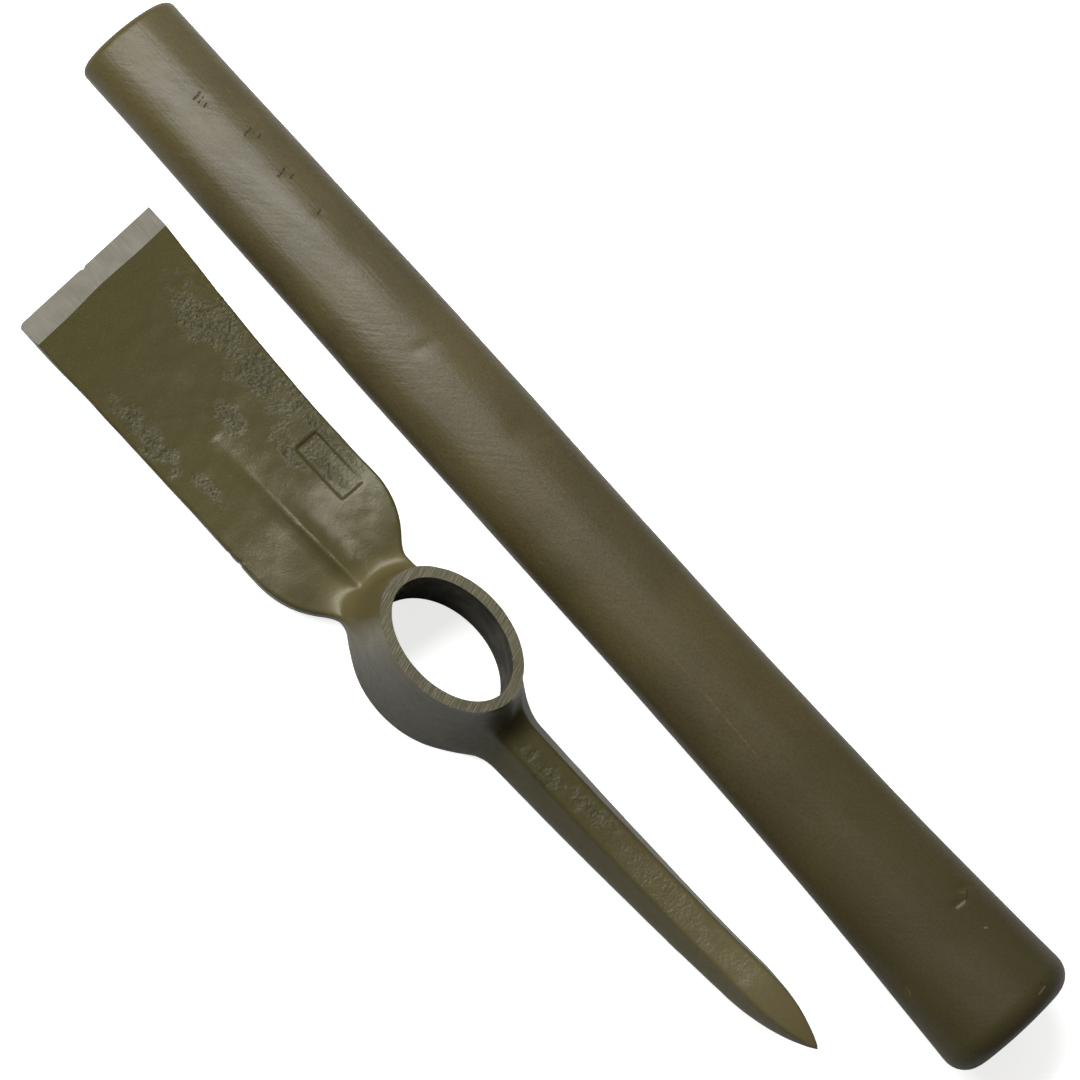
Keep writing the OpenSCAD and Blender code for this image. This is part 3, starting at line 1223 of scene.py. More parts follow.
        # Mask of the painted light on the neck, following the ramp's way up.
        neck = smooth(self.blade.ramp_climb(-along, across) * self.neck_climb) * (along < 0.0)
        neck = neck * smooth((self.neck_half - np.abs(across)) / self.neck_fade)
        # Mask of the painted grey reflection on steep faces.
        upright, upright_fade = self.wall_up
        wall = smooth((upright - up) / upright_fade) * (1.0 - neck)
        wall = wall * smooth((along - self.wall_from) / self.wall_fade)
        beyond_eye = smooth((along - self.eye.rim_reach()) / self.pick_wall_fade)
        wall = wall * blend(1.0, self.pick_wall, beyond_eye)
        rim_gap, rim_fade = self.rim_band
        wall = wall * smooth((self.eye.height - rim_gap - height) / rim_fade)
        marks = {"crest": (crest + spread) / 2.0, "pitting": self.patch(places, up)[0],
                 "pick_sheen_mask": pick_sheen_mask, "neck": neck, "wall": wall}
        for name, values in marks.items():
            layer = mesh.attributes.new(name, "FLOAT", "POINT")
            layer.data.foreach_set("value", values.astype(np.float32))

    def build(self, finishes: dict[Finish, Material], middle: Array) -> bpy.types.Object:
        """Makes the head's piece, cuts it and dresses it.

        Args:
            finishes: The materials by finish.
            middle: Place of the eye's middle on the floor.

        Returns:
            The head, in place of its CAD solid.
        """
        points, faces = self.forging()
        slots = [finishes[Finish.FORGED_PAINT]]
        piece = make_piece("forged_head", (self.lay_down(points, middle), faces), slots)
        cutters = []
        for finish, (cut_points, cut_faces) in (
            (Finish.FILED_RIM, self.file()),
            (Finish.EYE_INSIDE, self.drift()),
            (Finish.GROUND_STEEL, self.grinder()),
        ):
            skin = (self.lay_down(cut_points, middle), cut_faces)
            cutter = make_piece(f"cutter_{finish.value}", skin, [finishes[finish]])
            cutters.append(cutter)
            cut = piece.modifiers.new(cutter.name, "BOOLEAN")
            cut.operation, cut.solver, cut.material_mode = "DIFFERENCE", "EXACT", "TRANSFER"
            cut.object = cutter
        rough = piece.data
        cut_piece = piece.evaluated_get(bpy.context.evaluated_depsgraph_get())
        piece.data = bpy.data.meshes.new_from_object(cut_piece)
        piece.modifiers.clear()
        bpy.data.meshes.remove(rough)
        for cutter in cutters:
            bpy.data.meshes.remove(cutter.data)
        piece.data.name = piece.name
        piece.data.shade_smooth()
        piece.data.set_sharp_from_angle(angle=self.crease)
        self.mark_wear(piece.data, middle)
        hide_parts("head")
        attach(piece, "head")
        return piece


# ---- Finishes ----


class Finish(Enum):
    """Finishes of the two pieces, by what made them."""

    WOOD_PAINT = "wood_paint"
    FORGED_PAINT = "forged_paint"
    FILED_RIM = "filed_rim"
    GROUND_STEEL = "ground_steel"
    EYE_INSIDE = "eye_inside"


class NodeDesk:
    """Adds nodes to one shader tree and joins them."""

    def __init__(self, tree: bpy.types.NodeTree) -> None:
        """Takes the tree to work in."""
        self.tree = tree

    def fill(self, node: Node, inputs: Inputs) -> Node:
        """Sets or joins some of a node's inputs.

        Args:
            node: The node.
            inputs: Value, or socket to join, by the input's name or number.

        Returns:
            The same node.
        """
        for name, value in inputs.items():
            if isinstance(value, Socket):
                self.tree.links.new(value, node.inputs[name])
            else:
                node.inputs[name].default_value = value
        return node

    def add(self, kind: str, inputs: Inputs | None = None, **settings: object) -> Node:
        """Adds one node.

        Args:
            kind: Blender's name of the node.
            inputs: Value, or socket to join, by the input's name or number.
            **settings: The node's own properties, set before its inputs.

        Returns:
            The node.
        """
        node = self.tree.nodes.new(kind)
        for name, value in settings.items():
            setattr(node, name, value)
        return self.fill(node, inputs or {})

    def reckon(self, operation: str, *values: Value, **settings: object) -> Socket:
        """One step of arithmetic on some values."""
        inputs = dict(enumerate(values))
        return self.add("ShaderNodeMath", inputs, operation=operation, **settings).outputs[0]

    def times(self, first: Value, second: Value) -> Socket:
        """Product of two values."""
        return self.reckon("MULTIPLY", first, second)

    def vector(self, operation: str, *values: Value, output: str = "Vector") -> Socket:
        """One step of arithmetic on some vectors."""
        inputs = dict(enumerate(values))
        return self.add("ShaderNodeVectorMath", inputs, operation=operation).outputs[output]

    def mix(self, share: Value, low: Value, high: Value, blend_type: str = "MIX") -> Socket:
        """Colour between low and high."""
        inputs = {0: share, 6: low, 7: high}
        return self.add("ShaderNodeMix", inputs, data_type="RGBA", blend_type=blend_type).outputs[2]

    def ease(
        self, value: Value, low: Value, high: Value, start: float = 0.0, finish: float = 1.0
    ) -> Socket:
        """Eases from start to finish as a value goes from low to high."""
        inputs = dict(enumerate((value, low, high, start, finish)))
        return self.add("ShaderNodeMapRange", inputs, interpolation_type="SMOOTHSTEP").outputs[0]

    def noise(self, vector: Value, scale: Value, detail: float) -> Socket:
        """Noise between 0 and 1."""
        inputs = {"Vector": vector, "Scale": scale, "Detail": detail}
        return self.add("ShaderNodeTexNoise", inputs).outputs[0]

    def turned(self, vector: Value, degrees: float, axis: int) -> Socket:
        """Pattern coordinates turned about one axis."""
        rotation = tuple(math.radians(degrees) * (number == axis) for number in range(3))
        return self.add("ShaderNodeMapping", {"Vector": vector, "Rotation": rotation}).outputs[0]


FLOAT, VECTOR, COLOR = "NodeSocketFloat", "NodeSocketVector", "NodeSocketColor"


@dataclass
class Effects:
    """Shader node groups that more than one mark or finish uses, each built once."""

    patch_detail: float = 4.0
    patch_span: Span = (0.32, 0.68)
    speck_detail: float = 3.0
    dust_span: Span = (0.52, 0.78, 0.0, 0.55)
    grit_finer: float = 2.0
    grit_detail: float = 1.0
    grit_span: Span = (0.42, 0.72)
    grit_shade: Color = (0.74, 0.74, 0.72, 1.0)
    stroke_noise: Noise = (1.0, 3.0)
    stroke_span: Span = (0.30, 0.70)
    wear_detail: float = 3.0
    wear_ragged: float = 0.16
    scratch_noise: Noise = (700.0, 2.0)
    scratch_span: Span = (0.3, 0.6, 0.2, 1.6)
    coat: bpy.types.NodeTree = field(init=False)
    marks: bpy.types.NodeTree = field(init=False)
    wear: bpy.types.NodeTree = field(init=False)
    scratch: bpy.types.NodeTree = field(init=False)

    def __post_init__(self) -> None:
        """Builds the groups."""
        self.coat = self.build_coat()
        self.marks = self.build_marks()
        self.wear = self.build_wear()
        self.scratch = self.build_scratch()

    @staticmethod
    def start(
        name: str, inputs: dict[str, str], outputs: dict[str, str]
    ) -> tuple[NodeDesk, Outputs]:
        """Starts a group with its sockets.

        Args:
            name: Name of the group.
            inputs: Kinds of the input sockets by name.
            outputs: Kinds of the output sockets by name.

        Returns:
            The group's desk, and the sockets of what it is given.
        """
        tree = bpy.data.node_groups.new(name, "ShaderNodeTree")
        for in_out, sockets in (("INPUT", inputs), ("OUTPUT", outputs)):
            for label, kind in sockets.items():
                tree.interface.new_socket(label, in_out=in_out, socket_type=kind)
        desk = NodeDesk(tree)
        return desk, desk.add("NodeGroupInput").outputs

    def build_coat(self) -> bpy.types.NodeTree:
        """Coat of paint: broad patches of two tones under fine dusty specks, and its skin's height.

        Returns:
            The group's tree.
        """
        desk, given = self.start(
            "paint_coat",
            {"Vector": VECTOR, "Tone": COLOR, "Shade": COLOR, "Dust": COLOR,
             "Patches": FLOAT, "Specks": FLOAT},
            {"Color": COLOR, "Patch": FLOAT, "Height": FLOAT},
        )
        vector, specks = given["Vector"], given["Specks"]
        patch = desk.ease(desk.noise(vector, given["Patches"], self.patch_detail), *self.patch_span)
        speck = desk.noise(vector, specks, self.speck_detail)
        grit = desk.noise(vector, desk.times(specks, self.grit_finer), self.grit_detail)
        color = desk.mix(patch, given["Tone"], given["Shade"])
        color = desk.mix(desk.ease(speck, *self.dust_span), color, given["Dust"])
        color = desk.mix(desk.ease(grit, *self.grit_span), color, self.grit_shade, "MULTIPLY")
        desk.add("NodeGroupOutput", {"Color": color, "Patch": patch, "Height": speck})
        return desk.tree

    def build_marks(self) -> bpy.types.NodeTree:
        """Strokes of a file, grinder or sandpaper: noise drawn out along the first and third axes.

        Returns:
            The group's tree.
        """
        desk, given = self.start(
            "tool_marks",
            {"Vector": VECTOR, "Length": FLOAT, "Pitch": FLOAT},
            {"Mask": FLOAT},
        )
        shrink = [desk.reckon("DIVIDE", 1.0, given[size]) for size in ("Length", "Pitch", "Length")]
        drawn = desk.add("ShaderNodeCombineXYZ", dict(enumerate(shrink))).outputs[0]
        drawn = desk.vector("MULTIPLY", given["Vector"], drawn)
        mask = desk.ease(desk.noise(drawn, *self.stroke_noise), *self.stroke_span)
        desk.add("NodeGroupOutput", {"Mask": mask})
        return desk.tree

    def build_wear(self) -> bpy.types.NodeTree:
        """Wear where the surface stands proud, broken up by noise.

        Returns:
            The group's tree.
        """
        desk, given = self.start(
            "edge_wear",
            {"Vector": VECTOR, "Crest": FLOAT, "Grain": FLOAT, "From": FLOAT, "To": FLOAT},
            {"Mask": FLOAT},
        )
        noise = desk.noise(given["Vector"], given["Grain"], self.wear_detail)
        ragged = desk.reckon("SUBTRACT", noise, 0.5)
        height = desk.reckon("MULTIPLY_ADD", ragged, self.wear_ragged, given["Crest"])
        desk.add("NodeGroupOutput", {"Mask": desk.ease(height, given["From"], given["To"])})
        return desk.tree

    def build_scratch(self) -> bpy.types.NodeTree:
        """One straight scratch: near the line from start to finish, in the pattern's own plane.

        Returns:
            The group's tree.
        """
        desk, given = self.start(
            "scratch",
            {"Vector": VECTOR, "Start": VECTOR, "Way": VECTOR, "Width": FLOAT},
            {"Mask": FLOAT},
        )
        way = given["Way"]
        flat = desk.vector("MULTIPLY", given["Vector"], (1.0, 1.0, 0.0))
        from_start = desk.vector("SUBTRACT", flat, given["Start"])
        done = desk.vector("DOT_PRODUCT", from_start, way, output="Value")
        whole = desk.vector("DOT_PRODUCT", way, way, output="Value")
        share = desk.reckon("DIVIDE", done, whole, use_clamp=True)
        nearest = desk.add("ShaderNodeVectorMath", {0: way, "Scale": share}, operation="SCALE")
        away = desk.vector("DISTANCE", from_start, nearest.outputs[0], output="Value")
        ragged = desk.ease(desk.noise(flat, *self.scratch_noise), *self.scratch_span)
        wide = desk.times(given["Width"], ragged)
        desk.add("NodeGroupOutput", {"Mask": desk.ease(away, wide, 0.0)})
        return desk.tree


@dataclass(frozen=True)
class Coat:
    """Colours, patch sizes and grain depth of a coat of paint."""

    tone: Color
    shade: Color
    dust: Color
    patches: float
    specks: float
    depth: float


@dataclass(frozen=True)
class Strokes:
    """Marks of a tool: turn in degrees, length, pitch and depth, and the axis of the turn."""

    turn: float
    length: float
    pitch: float
    depth: float
    axis: int = 2


@dataclass(frozen=True)
class Wear:
    """Worn crests: scale of the noise, crests where wear starts and is whole, and its share."""

    grain: float
    start: float
    whole: float
    share: float


class Surface:
    """One material on its desk, with the effect groups at hand."""

    def __init__(self, finish: Finish, effects: Effects) -> None:
        """Starts the material with a bare shader.

        Args:
            finish: The finish, which names the material.
            effects: The effect groups.
        """
        self.material = bpy.data.materials.new(finish.value)
        self.material.use_nodes = True
        self.effects = effects
        self.desk = NodeDesk(self.material.node_tree)
        self.shader = self.material.node_tree.nodes["Principled BSDF"]
        self.place = self.desk.add("ShaderNodeTexCoord").outputs["Object"]

    def group(self, tree: bpy.types.NodeTree, inputs: Inputs) -> Outputs:
        """Places an effect group with its own values."""
        return self.desk.add("ShaderNodeGroup", inputs, node_tree=tree).outputs

    def coat(self, look: Coat) -> Outputs:
        """Places the paint coat with its colours and patch sizes.

        Args:
            look: The coat.

        Returns:
            Its colour, its patches and its skin's height.
        """
        return self.group(self.effects.coat, {
            "Vector": self.place, "Tone": look.tone, "Shade": look.shade, "Dust": look.dust,
            "Patches": 1.0 / look.patches, "Specks": 1.0 / look.specks,
        })

    def strokes(self, look: Strokes, vector: Socket) -> Socket:
        """Mask of a tool's strokes.

        Args:
            look: The strokes.
            vector: Coordinates that they lie on.

        Returns:
            The mask, 1 on the strokes.
        """
        turned = self.desk.turned(vector, look.turn, look.axis)
        inputs = {"Vector": turned, "Length": look.length, "Pitch": look.pitch}
        return self.group(self.effects.marks, inputs)[0]

    def wear(self, look: Wear) -> Socket:
        """Mask of the worn crests, times its share.

        Args:
            look: The wear.

        Returns:
            The mask, at most its share.
        """
        mask = self.group(self.effects.wear, {
            "Vector": self.place, "Crest": self.attribute("crest"),
            "Grain": look.grain, "From": look.start, "To": look.whole,
        })[0]
        return self.desk.times(mask, look.share)

    def attribute(self, name: str) -> Socket:
        """Value that the piece's mesh carries."""
        return self.desk.add("ShaderNodeAttribute", attribute_name=name).outputs["Fac"]

    def bump(self, *layers: tuple[Socket, float]) -> None:
        """Stacks heights into the shader's normal.

        Args:
            *layers: Height of each layer, from the lowest up, and its depth in metres.
        """
        below: Inputs = {}
        for height, depth in layers:
            inputs = {"Height": height, "Distance": depth, "Strength": 1.0, **below}
            below = {"Normal": self.desk.add("ShaderNodeBump", inputs).outputs["Normal"]}
        self.desk.fill(self.shader, below)

    def wire(self, inputs: Inputs) -> Material:
        """Sets or joins the shader's inputs and hands the material over."""
        self.desk.fill(self.shader, inputs)
        return self.material


@dataclass(frozen=True)
class WoodPaint:
    """Satin olive paint on sanded wood, with strokes across the grain, bruises, a long scratch and
    painted shade towards the flared end.

    Each mark has its start along and round the handle, its way along and round it, and its width.
    """

    finish: Finish = Finish.WOOD_PAINT
    coat: Coat = Coat(tint(75, 67, 40), tint(67, 60, 36), tint(82, 74, 47), 0.030, 0.0010, 0.000040)
    slant: Strokes = Strokes(24.0, 0.012, 0.0007, 0.000012)
    cross: Strokes = Strokes(42.0, 0.009, 0.0015, 0.000042)
    grain: Strokes = Strokes(0.0, 0.040, 0.0011, 0.000018)
    smudge: Strokes = Strokes(9.0, 0.034, 0.0055, 0.000032)
    brushed_noise: Noise = (55.0, 4.0)
    brushed_span: Span = (0.40, 0.62, 0.25, 1.0)
    brushed_along: Span = (-0.080, 0.020, 1.0, 0.45)
    stroke: Color = tint(84, 76, 50)
    stroke_span: Span = (0.35, 0.95, 0.0, 0.35)
    # Painted shade: the paint is mixed darker towards the flared end, where the softbox's light falls
    # off.
    flare_shade: Color = tint(58, 53, 31)
    flare_shade_along: Span = (0.080, 0.170, 0.0, 0.50)
    bare: Color = tint(124, 92, 62)
    bare_share: float = 0.42
    gouged: Color = tint(40, 36, 24)
    gouged_share: float = 0.8
    gouge_depth: float = 0.00014
    chipped: Color = tint(122, 113, 86)
    chipped_share: float = 0.75
    smudge_dulls: float = 0.5
    stroke_dulls: float = 0.7
    roughness: Span = (0.0, 1.0, 0.36, 0.47)
    specular: float = 0.245
    scratches: Marks = (
        (0.0635, 0.0564, 0.0248, 0.0007, 0.00016),
        (0.0300, 0.0560, 0.0300, 0.0004, 0.00010),
        (0.1577, 0.0404, 0.0010, -0.0010, 0.00025),
        (0.1672, 0.0684, 0.0030, 0.0006, 0.00020),
    )
    chips: Marks = (
        (0.1604, 0.0443, 0.0003, -0.0030, 0.00045),
        (0.1943, 0.0446, -0.0003, -0.0026, 0.00026),
        (0.1700, 0.0428, 0.0004, -0.0006, 0.00030),
    )
    slits: Marks = (
        (-0.1500, 0.0430, 0.0004, 0.0034, 0.00054),
        (-0.1470, 0.0415, 0.0005, 0.0020, 0.00030),
        (-0.1340, 0.0440, 0.0006, 0.0030, 0.00050),
        (-0.1312, 0.0425, 0.0004, 0.0022, 0.00036),
        (-0.1176, 0.0442, 0.0007, 0.0022, 0.00032),
        (-0.1682, 0.0478, 0.0006, 0.0030, 0.00034),
        (-0.1664, 0.0482, 0.0005, 0.0022, 0.00026),
        (-0.1644, 0.0486, 0.0006, 0.0016, 0.00026),
        (0.1590, 0.0378, 0.0016, 0.0026, 0.00026),
        (0.1925, 0.0415, 0.0004, 0.0016, 0.00022),
    )

    def build(self, effects: Effects) -> Material:
        """Makes the material.

        Args:
            effects: The effect groups.

        Returns:
            The material.
        """
        surface = Surface(self.finish, effects)
        desk = surface.desk
        flat = desk.add("ShaderNodeUVMap", uv_map="lengthwise").outputs[0]
        along = desk.add("ShaderNodeSeparateXYZ", {0: flat}).outputs[0]
        coat = surface.coat(self.coat)
        brushed = desk.ease(desk.noise(flat, *self.brushed_noise), *self.brushed_span)
        brushed = desk.times(brushed, desk.ease(along, *self.brushed_along))
        slant, cross = surface.strokes(self.slant, flat), surface.strokes(self.cross, flat)
        grain, smudge = surface.strokes(self.grain, flat), surface.strokes(self.smudge, flat)
        strokes = desk.times(desk.times(slant, cross), brushed)
        gouges = self.lines(surface, flat, self.slits)
        color = coat["Color"]
        for share, over in (
            (desk.ease(strokes, *self.stroke_span), self.stroke),
            # Painted shade towards the flared end.
            (desk.ease(along, *self.flare_shade_along), self.flare_shade),
            (desk.times(self.lines(surface, flat, self.scratches), self.bare_share), self.bare),
            (desk.times(gouges, self.gouged_share), self.gouged),
            (desk.times(self.lines(surface, flat, self.chips), self.chipped_share), self.chipped),
        ):
            color = desk.mix(share, color, over)
        dull = desk.times(smudge, self.smudge_dulls)
        dull = desk.reckon("ADD", dull, desk.times(strokes, self.stroke_dulls))
        surface.bump(
            (desk.times(slant, brushed), self.slant.depth),
            (desk.times(cross, brushed), self.cross.depth),
            (grain, self.grain.depth),
            (smudge, self.smudge.depth),
            (coat["Height"], self.coat.depth),
            (desk.reckon("SUBTRACT", 1.0, gouges), self.gouge_depth),
        )
        return surface.wire({"Base Color": color, "Roughness": desk.ease(dull, *self.roughness),
                             "Specular IOR Level": self.specular})

    def lines(self, surface: Surface, flat: Socket, marks: Marks) -> Socket:
        """Mask of some straight marks on the lengthwise map.

        Args:
            surface: The material in hand.
            flat: Coordinates of the map.
            marks: The marks.

        Returns:
            The mask, 1 in the marks.
        """
        whole: Value = 0.0
        for along, round_way, way_along, way_round, width in marks:
            start, way = (along, round_way, 0.0), (way_along, way_round, 0.0)
            inputs = {"Vector": flat, "Start": start, "Way": way, "Width": width}
            mark = surface.group(surface.effects.scratch, inputs)[0]
            whole = surface.desk.reckon("MAXIMUM", whole, mark)
        return whole


@dataclass(frozen=True)
class ForgedPaint:
    """Olive paint over forging scale: duller and painted darker as shade in the pits, rubbed lighter
    along the crests.
    """

    finish: Finish = Finish.FORGED_PAINT
    coat: Coat = Coat(tint(67, 62, 36), tint(62, 57, 33), tint(80, 75, 48), 0.026, 0.0006, 0.00003)
    rubbed: Color = tint(98, 92, 68)
    wear: Wear = Wear(900.0, 0.13, 0.30, 0.45)
    # Painted sheen: the pick's paint is mixed lighter towards its point.
    used: Color = tint(97, 88, 60)
    pick_sheen_share: float = 0.8
    # Painted light: the neck and the ramp up to the small rim are mixed lighter.
    neck_light: Color = tint(86, 78, 49)
    neck_light_share: float = 0.8
    # Painted shade: the pit hollows, where the bump lies lowest, are mixed darker.
    pit_shade: Color = tint(38, 36, 21)
    pit_shade_share: float = 0.85
    scale_noise: Noise = (1000.0, 8.0)
    scale_span: Span = (0.38, 0.64)
    scale_depth: float = 0.00034
    # Painted reflection: steep walls are mixed in blotches towards a grey that stands for the floor's
    # reflection, faded below the rim.
    dull: Color = tint(70, 69, 60)
    wall_reflection_noise: Noise = (480.0, 6.0)
    wall_reflection_span: Span = (0.32, 0.66, 0.45, 1.0)
    hammered_noise: Noise = (260.0, 4.0)
    hammered_depth: float = 0.000045
    wall_noise: Noise = (900.0, 3.0)
    wall_depth: float = 0.00012
    patch_dulls: float = 0.6
    pits_dull: float = 0.4
    neck_share: float = 0.4
    rougher: float = 0.16
    roughness: Span = (0.0, 1.0, 0.22, 0.29)
    specular: float = 0.21
    sheen: Color = (1.0, 0.97, 0.80, 1.0)

    def build(self, effects: Effects) -> Material:
        """Makes the material.

        Args:
            effects: The effect groups.

        Returns:
            The material.
        """
        surface = Surface(self.finish, effects)
        desk, place = surface.desk, surface.place
        coat = surface.coat(self.coat)
        names = "pitting", "pick_sheen_mask", "neck", "wall"
        pitting, pick_sheen_mask, neck, wall = (surface.attribute(name) for name in names)
        scale = desk.noise(place, *self.scale_noise)
        pits = desk.times(pitting, desk.ease(scale, *self.scale_span))
        reflection_blotches = desk.ease(desk.noise(place, *self.wall_reflection_noise), *self.wall_reflection_span)
        color = coat["Color"]
        for share, over in (
            # Painted shade in the pit hollows.
            (desk.times(pits, self.pit_shade_share), self.pit_shade),
            # Painted sheen along the pick.
            (desk.times(pick_sheen_mask, self.pick_sheen_share), self.used),
            # Painted light on the neck.
            (desk.times(neck, self.neck_light_share), self.neck_light),
            # Painted grey reflection on the steep walls.
            (desk.times(wall, reflection_blotches), self.dull),
            (surface.wear(self.wear), self.rubbed),
        ):
            color = desk.mix(share, color, over)
        dull = desk.times(coat["Patch"], self.patch_dulls)
        dull = desk.reckon("ADD", dull, desk.times(pits, self.pits_dull))
        rough = desk.reckon("MAXIMUM", wall, desk.times(neck, self.neck_share))
        rough = desk.reckon("MAXIMUM", rough, pitting)
        rough = desk.reckon("MULTIPLY_ADD", rough, self.rougher, desk.ease(dull, *self.roughness))
        surface.bump(
            (desk.noise(place, *self.hammered_noise), self.hammered_depth),
            (coat["Height"], self.coat.depth),
            (desk.times(wall, desk.noise(place, *self.wall_noise)), self.wall_depth),
            (desk.times(pitting, desk.reckon("SUBTRACT", 0.5, scale)), self.scale_depth),
        )
        return surface.wire({"Base Color": color, "Roughness": rough,
                             "Specular IOR Level": self.specular, "Specular Tint": self.sheen})


@dataclass(frozen=True)
class FiledRim:
    """The small rim: filed flat and thinly painted, so the file's strokes show lighter."""

    finish: Finish = Finish.FILED_RIM
    coat: Coat = Coat(tint(70, 65, 38), tint(61, 56, 32), tint(83, 77, 50), 0.012, 0.0009, 0.00004)
    filed: Color = tint(100, 93, 66)
    strokes: Strokes = Strokes(71.0, 0.006, 0.00042, 0.00006)
    stroke_span: Span = (0.45, 1.0, 0.0, 0.5)
    wear: Wear = Wear(1100.0, 0.30, 0.55, 0.7)
    roughness: Span = (0.0, 1.0, 0.55, 0.40)
    specular: float = 0.35

    def build(self, effects: Effects) -> Material:
        """Makes the material.

        Args:
            effects: The effect groups.

        Returns:
            The material.
        """
        surface = Surface(self.finish, effects)
        desk = surface.desk
        coat = surface.coat(self.coat)
        strokes = surface.strokes(self.strokes, surface.place)
        share = desk.ease(strokes, *self.stroke_span)
        share = desk.reckon("MAXIMUM", share, surface.wear(self.wear))
        color = desk.mix(share, coat["Color"], self.filed)
        surface.bump((strokes, self.strokes.depth), (coat["Height"], self.coat.depth))
        return surface.wire({"Base Color": color, "Roughness": desk.ease(strokes, *self.roughness),
                             "Specular IOR Level": self.specular})


@dataclass(frozen=True)
class GroundSteel:
    """The bevel: bare steel with the grinder's strokes across the edge and a faint oily tint."""

    finish: Finish = Finish.GROUND_STEEL
    light: Color = tint(104, 100, 90)
    dark: Color = tint(95, 91, 81)
    strokes: Strokes = Strokes(4.0, 0.008, 0.00035, 0.00002)
    stroke_share: float = 0.6
    stain_noise: Noise = (160.0, 4.0)
    stain_span: Span = (0.35, 0.7, 0.0, 1.0)
    stain_share: float = 0.4
    grit_noise: Noise = (1800.0, 2.0)
    grit_depth: float = 0.00003
    roughness: Span = (0.0, 1.0, 0.60, 0.70)
    metallic: float = 0.35
    specular: float = 0.3

    def build(self, effects: Effects) -> Material:
        """Makes the material.

        Args:
            effects: The effect groups.

        Returns:
            The material.
        """
        surface = Surface(self.finish, effects)
        desk, place = surface.desk, surface.place
        strokes = surface.strokes(self.strokes, place)
        stain = desk.ease(desk.noise(place, *self.stain_noise), *self.stain_span)
        stain = desk.times(stain, self.stain_share)
        share = desk.reckon("MULTIPLY_ADD", strokes, self.stroke_share, stain)
        grit = desk.noise(place, *self.grit_noise)
        surface.bump((strokes, self.strokes.depth), (grit, self.grit_depth))
        return surface.wire({"Base Color": desk.mix(share, self.light, self.dark),
                             "Roughness": desk.ease(share, *self.roughness),
                             "Metallic": self.metallic, "Specular IOR Level": self.specular})


@dataclass(frozen=True)
class EyeInside:
    """The eye's inner wall: dark paint, with scuffs where handles were driven in."""

    finish: Finish = Finish.EYE_INSIDE
    coat: Coat = Coat(tint(80, 78, 67), tint(68, 66, 57), tint(94, 90, 75), 0.010, 0.0008, 0.00008)
    scuffed: Color = tint(100, 96, 80)
    scuffs: Strokes = Strokes(90.0, 0.020, 0.0012, 0.00004, axis=1)
    scuff_span: Span = (0.55, 1.0, 0.0, 0.45)
    roughness: Span = (0.0, 1.0, 0.60, 0.75)
    specular: float = 0.15

    def build(self, effects: Effects) -> Material:
        """Makes the material.

        Args:
            effects: The effect groups.

        Returns:
            The material.
        """
        surface = Surface(self.finish, effects)
        desk = surface.desk
        coat = surface.coat(self.coat)
        scuffs = surface.strokes(self.scuffs, surface.place)
        color = desk.mix(desk.ease(scuffs, *self.scuff_span), coat["Color"], self.scuffed)
        surface.bump((coat["Height"], self.coat.depth), (scuffs, self.scuffs.depth))
        roughness = desk.ease(coat["Patch"], *self.roughness)
        return surface.wire({"Base Color": color, "Roughness": roughness,
                             "Specular IOR Level": self.specular})


def build_finishes() -> dict[Finish, Material]:
    """Makes every finish of the two pieces.

    Returns:
        The materials by finish.
    """
    effects = Effects()
    looks = WoodPaint(), ForgedPaint(), FiledRim(), GroundSteel(), EyeInside()
    return {look.finish: look.build(effects) for look in looks}


# ---- Studio ----


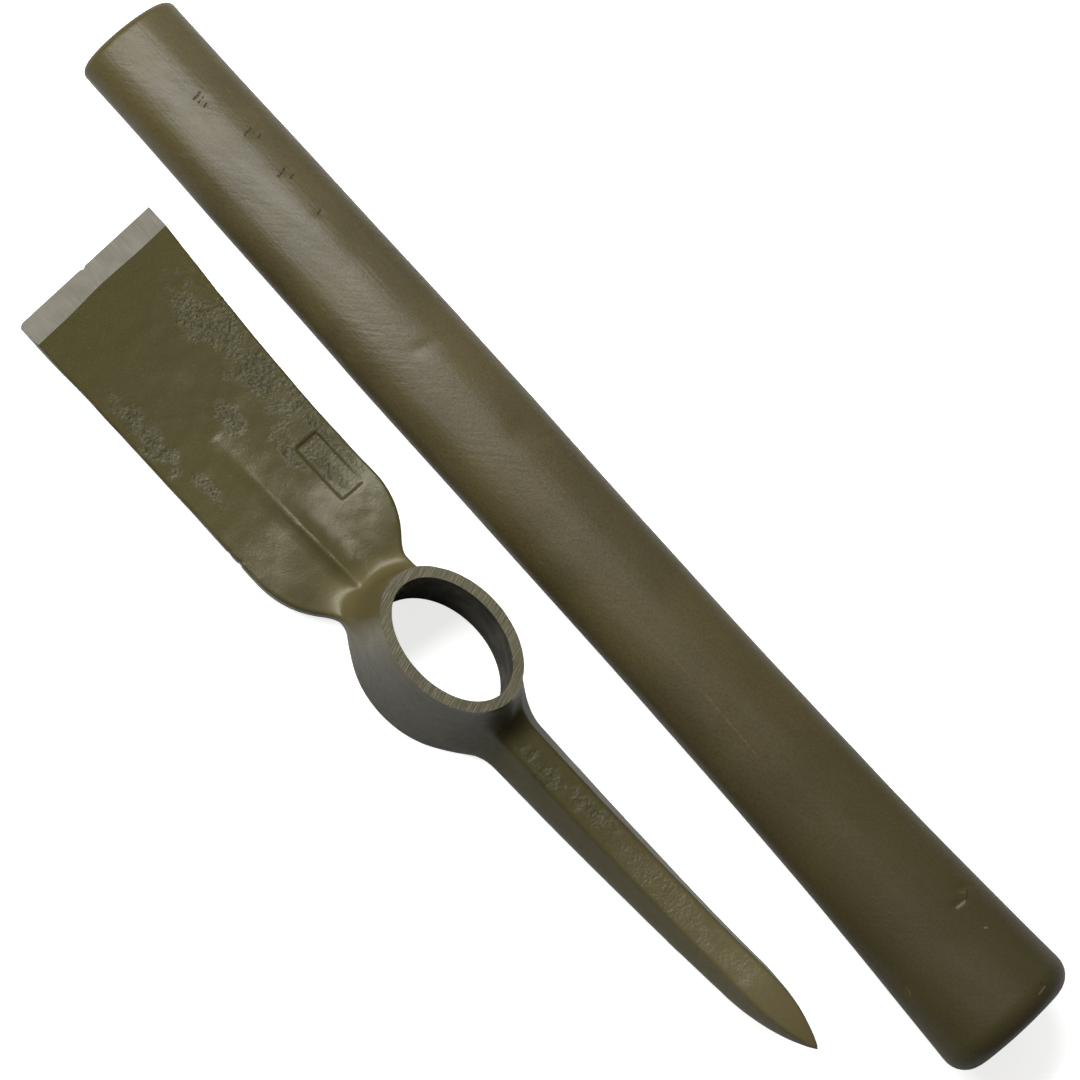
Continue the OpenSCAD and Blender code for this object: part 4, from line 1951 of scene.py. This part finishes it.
@dataclass
class Studio:
    """Pale floor, one large soft light, a white card, a dim room and the photograph's camera."""

    azimuth: float = math.radians(13.5)
    elevation: float = math.radians(72.6)
    roll: float = math.radians(-35.37)
    distance: float = 1.1
    lens: float = 123.7
    sensor: float = 36.0
    look_at: Place = (-0.0013, 0.0220, 0.015)
    floor_half: float = 4.0
    floor_color: Color = (0.70, 0.70, 0.69, 1.0)
    floor_bounce: Color = (0.62, 0.62, 0.61, 1.0)
    floor_glow: float = 1.1
    floor_roughness: float = 0.9
    floor_specular: float = 0.1
    light_place: Place = (-0.368, -0.05, 0.75)
    light_turn: Place = (0.0, 0.0, math.radians(-6.0))
    light_size: tuple[float, float] = (0.21, 0.95)
    light_power: float = 12.7
    card_place: Place = (-0.50, 1.00, 0.55)
    card_turn: Place = (math.radians(-61.0), 0.0, 0.0)
    card_size: tuple[float, float] = (0.80, 0.60)
    card_power: float = 1.6
    room_color: Color = (1.0, 1.0, 1.0, 1.0)
    room_strength: float = 0.12

    def build_floor(self) -> None:
        """Lays the floor under the pieces and marks it as stage."""
        corners = np.array([[-1.0, -1.0, 0.0], [1.0, -1.0, 0.0], [1.0, 1.0, 0.0], [-1.0, 1.0, 0.0]])
        corners *= self.floor_half
        corners[:, 2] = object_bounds()[0][2]
        material = bpy.data.materials.new("pale_floor")
        material.use_nodes = True
        desk = NodeDesk(material.node_tree)
        seen = desk.add("ShaderNodeLightPath").outputs["Is Camera Ray"]
        desk.fill(material.node_tree.nodes["Principled BSDF"], {
            "Base Color": desk.mix(seen, self.floor_bounce, self.floor_color),
            "Roughness": self.floor_roughness,
            "Specular IOR Level": self.floor_specular,
            "Emission Color": self.floor_color,
            "Emission Strength": desk.times(seen, self.floor_glow),
        })
        floor = make_piece("pale_floor", (corners, [[0, 1, 2, 3]]), [material])
        floor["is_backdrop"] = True

    def hang(
        self, name: str, place: Place, turn: Place, size: tuple[float, float], power: float
    ) -> None:
        """Hangs one evenly lit rectangle, which would face down if it weren't turned.

        Args:
            name: Name of the light.
            place: Place of its middle.
            turn: Turns about the three axes.
            size: Its two sides.
            power: Power in watts.
        """
        lamp = bpy.data.lights.new(name, "AREA")
        lamp.shape, lamp.energy = "RECTANGLE", power
        lamp.size, lamp.size_y = size
        rectangle = bpy.data.objects.new(name, lamp)
        rectangle.location, rectangle.rotation_euler = place, turn
        bpy.context.scene.collection.objects.link(rectangle)

    def build_light(self) -> None:
        """Hangs the softbox over the grip end and a card beyond the handle, and dims the room."""
        self.hang("softbox", self.light_place, self.light_turn, self.light_size, self.light_power)
        self.hang("white_card", self.card_place, self.card_turn, self.card_size, self.card_power)
        world = bpy.data.worlds.new("room")
        world.use_nodes = True
        room = {"Color": self.room_color, "Strength": self.room_strength}
        NodeDesk(world.node_tree).fill(world.node_tree.nodes["Background"], room)
        bpy.context.scene.world = world

    def build_camera(self) -> None:
        """Sets up the camera that looks down at the two pieces, rolled as in the photograph."""
        flat, rise = math.cos(self.elevation), math.sin(self.elevation)
        back = np.array([math.sin(self.azimuth) * flat, -math.cos(self.azimuth) * flat, rise])
        level = np.array([math.cos(self.azimuth), math.sin(self.azimuth), 0.0])
        upright = np.cross(back, level)
        right = math.cos(self.roll) * level - math.sin(self.roll) * upright
        up = math.sin(self.roll) * level + math.cos(self.roll) * upright
        place = np.array(self.look_at) + back * self.distance
        lens = bpy.data.cameras.new("camera")
        lens.lens, lens.sensor_width = self.lens, self.sensor
        camera = bpy.data.objects.new("camera", lens)
        turn = np.eye(4)
        turn[:3] = np.stack([right, up, back, place], axis=1)
        camera.matrix_world = Matrix(turn.tolist())
        bpy.context.scene.collection.objects.link(camera)
        bpy.context.scene.camera = camera

    def build(self) -> None:
        """Builds the whole studio."""
        self.build_floor()
        self.build_light()
        self.build_camera()
        bpy.context.scene.view_settings.view_transform = "Standard"


def main() -> None:
    """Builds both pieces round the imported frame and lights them."""
    logging.basicConfig(level=logging.INFO, format="%(name)s: %(message)s")
    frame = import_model()
    finishes = build_finishes()
    mounts = {mount["name"]: mount for mount in frame["record"]["mounts"]}
    handle = Handle()
    head = Head(handle)
    pieces = [
        handle.build(finishes[Finish.WOOD_PAINT]),
        head.build(finishes, np.array(mounts["eye"]["pos_m"])),
    ]
    for piece in pieces:
        mesh = piece.data
        LOG.info("%s: %d vertices, %d faces", piece.name, len(mesh.vertices), len(mesh.polygons))
    Studio().build()


if __name__ == "__main__":
    main()
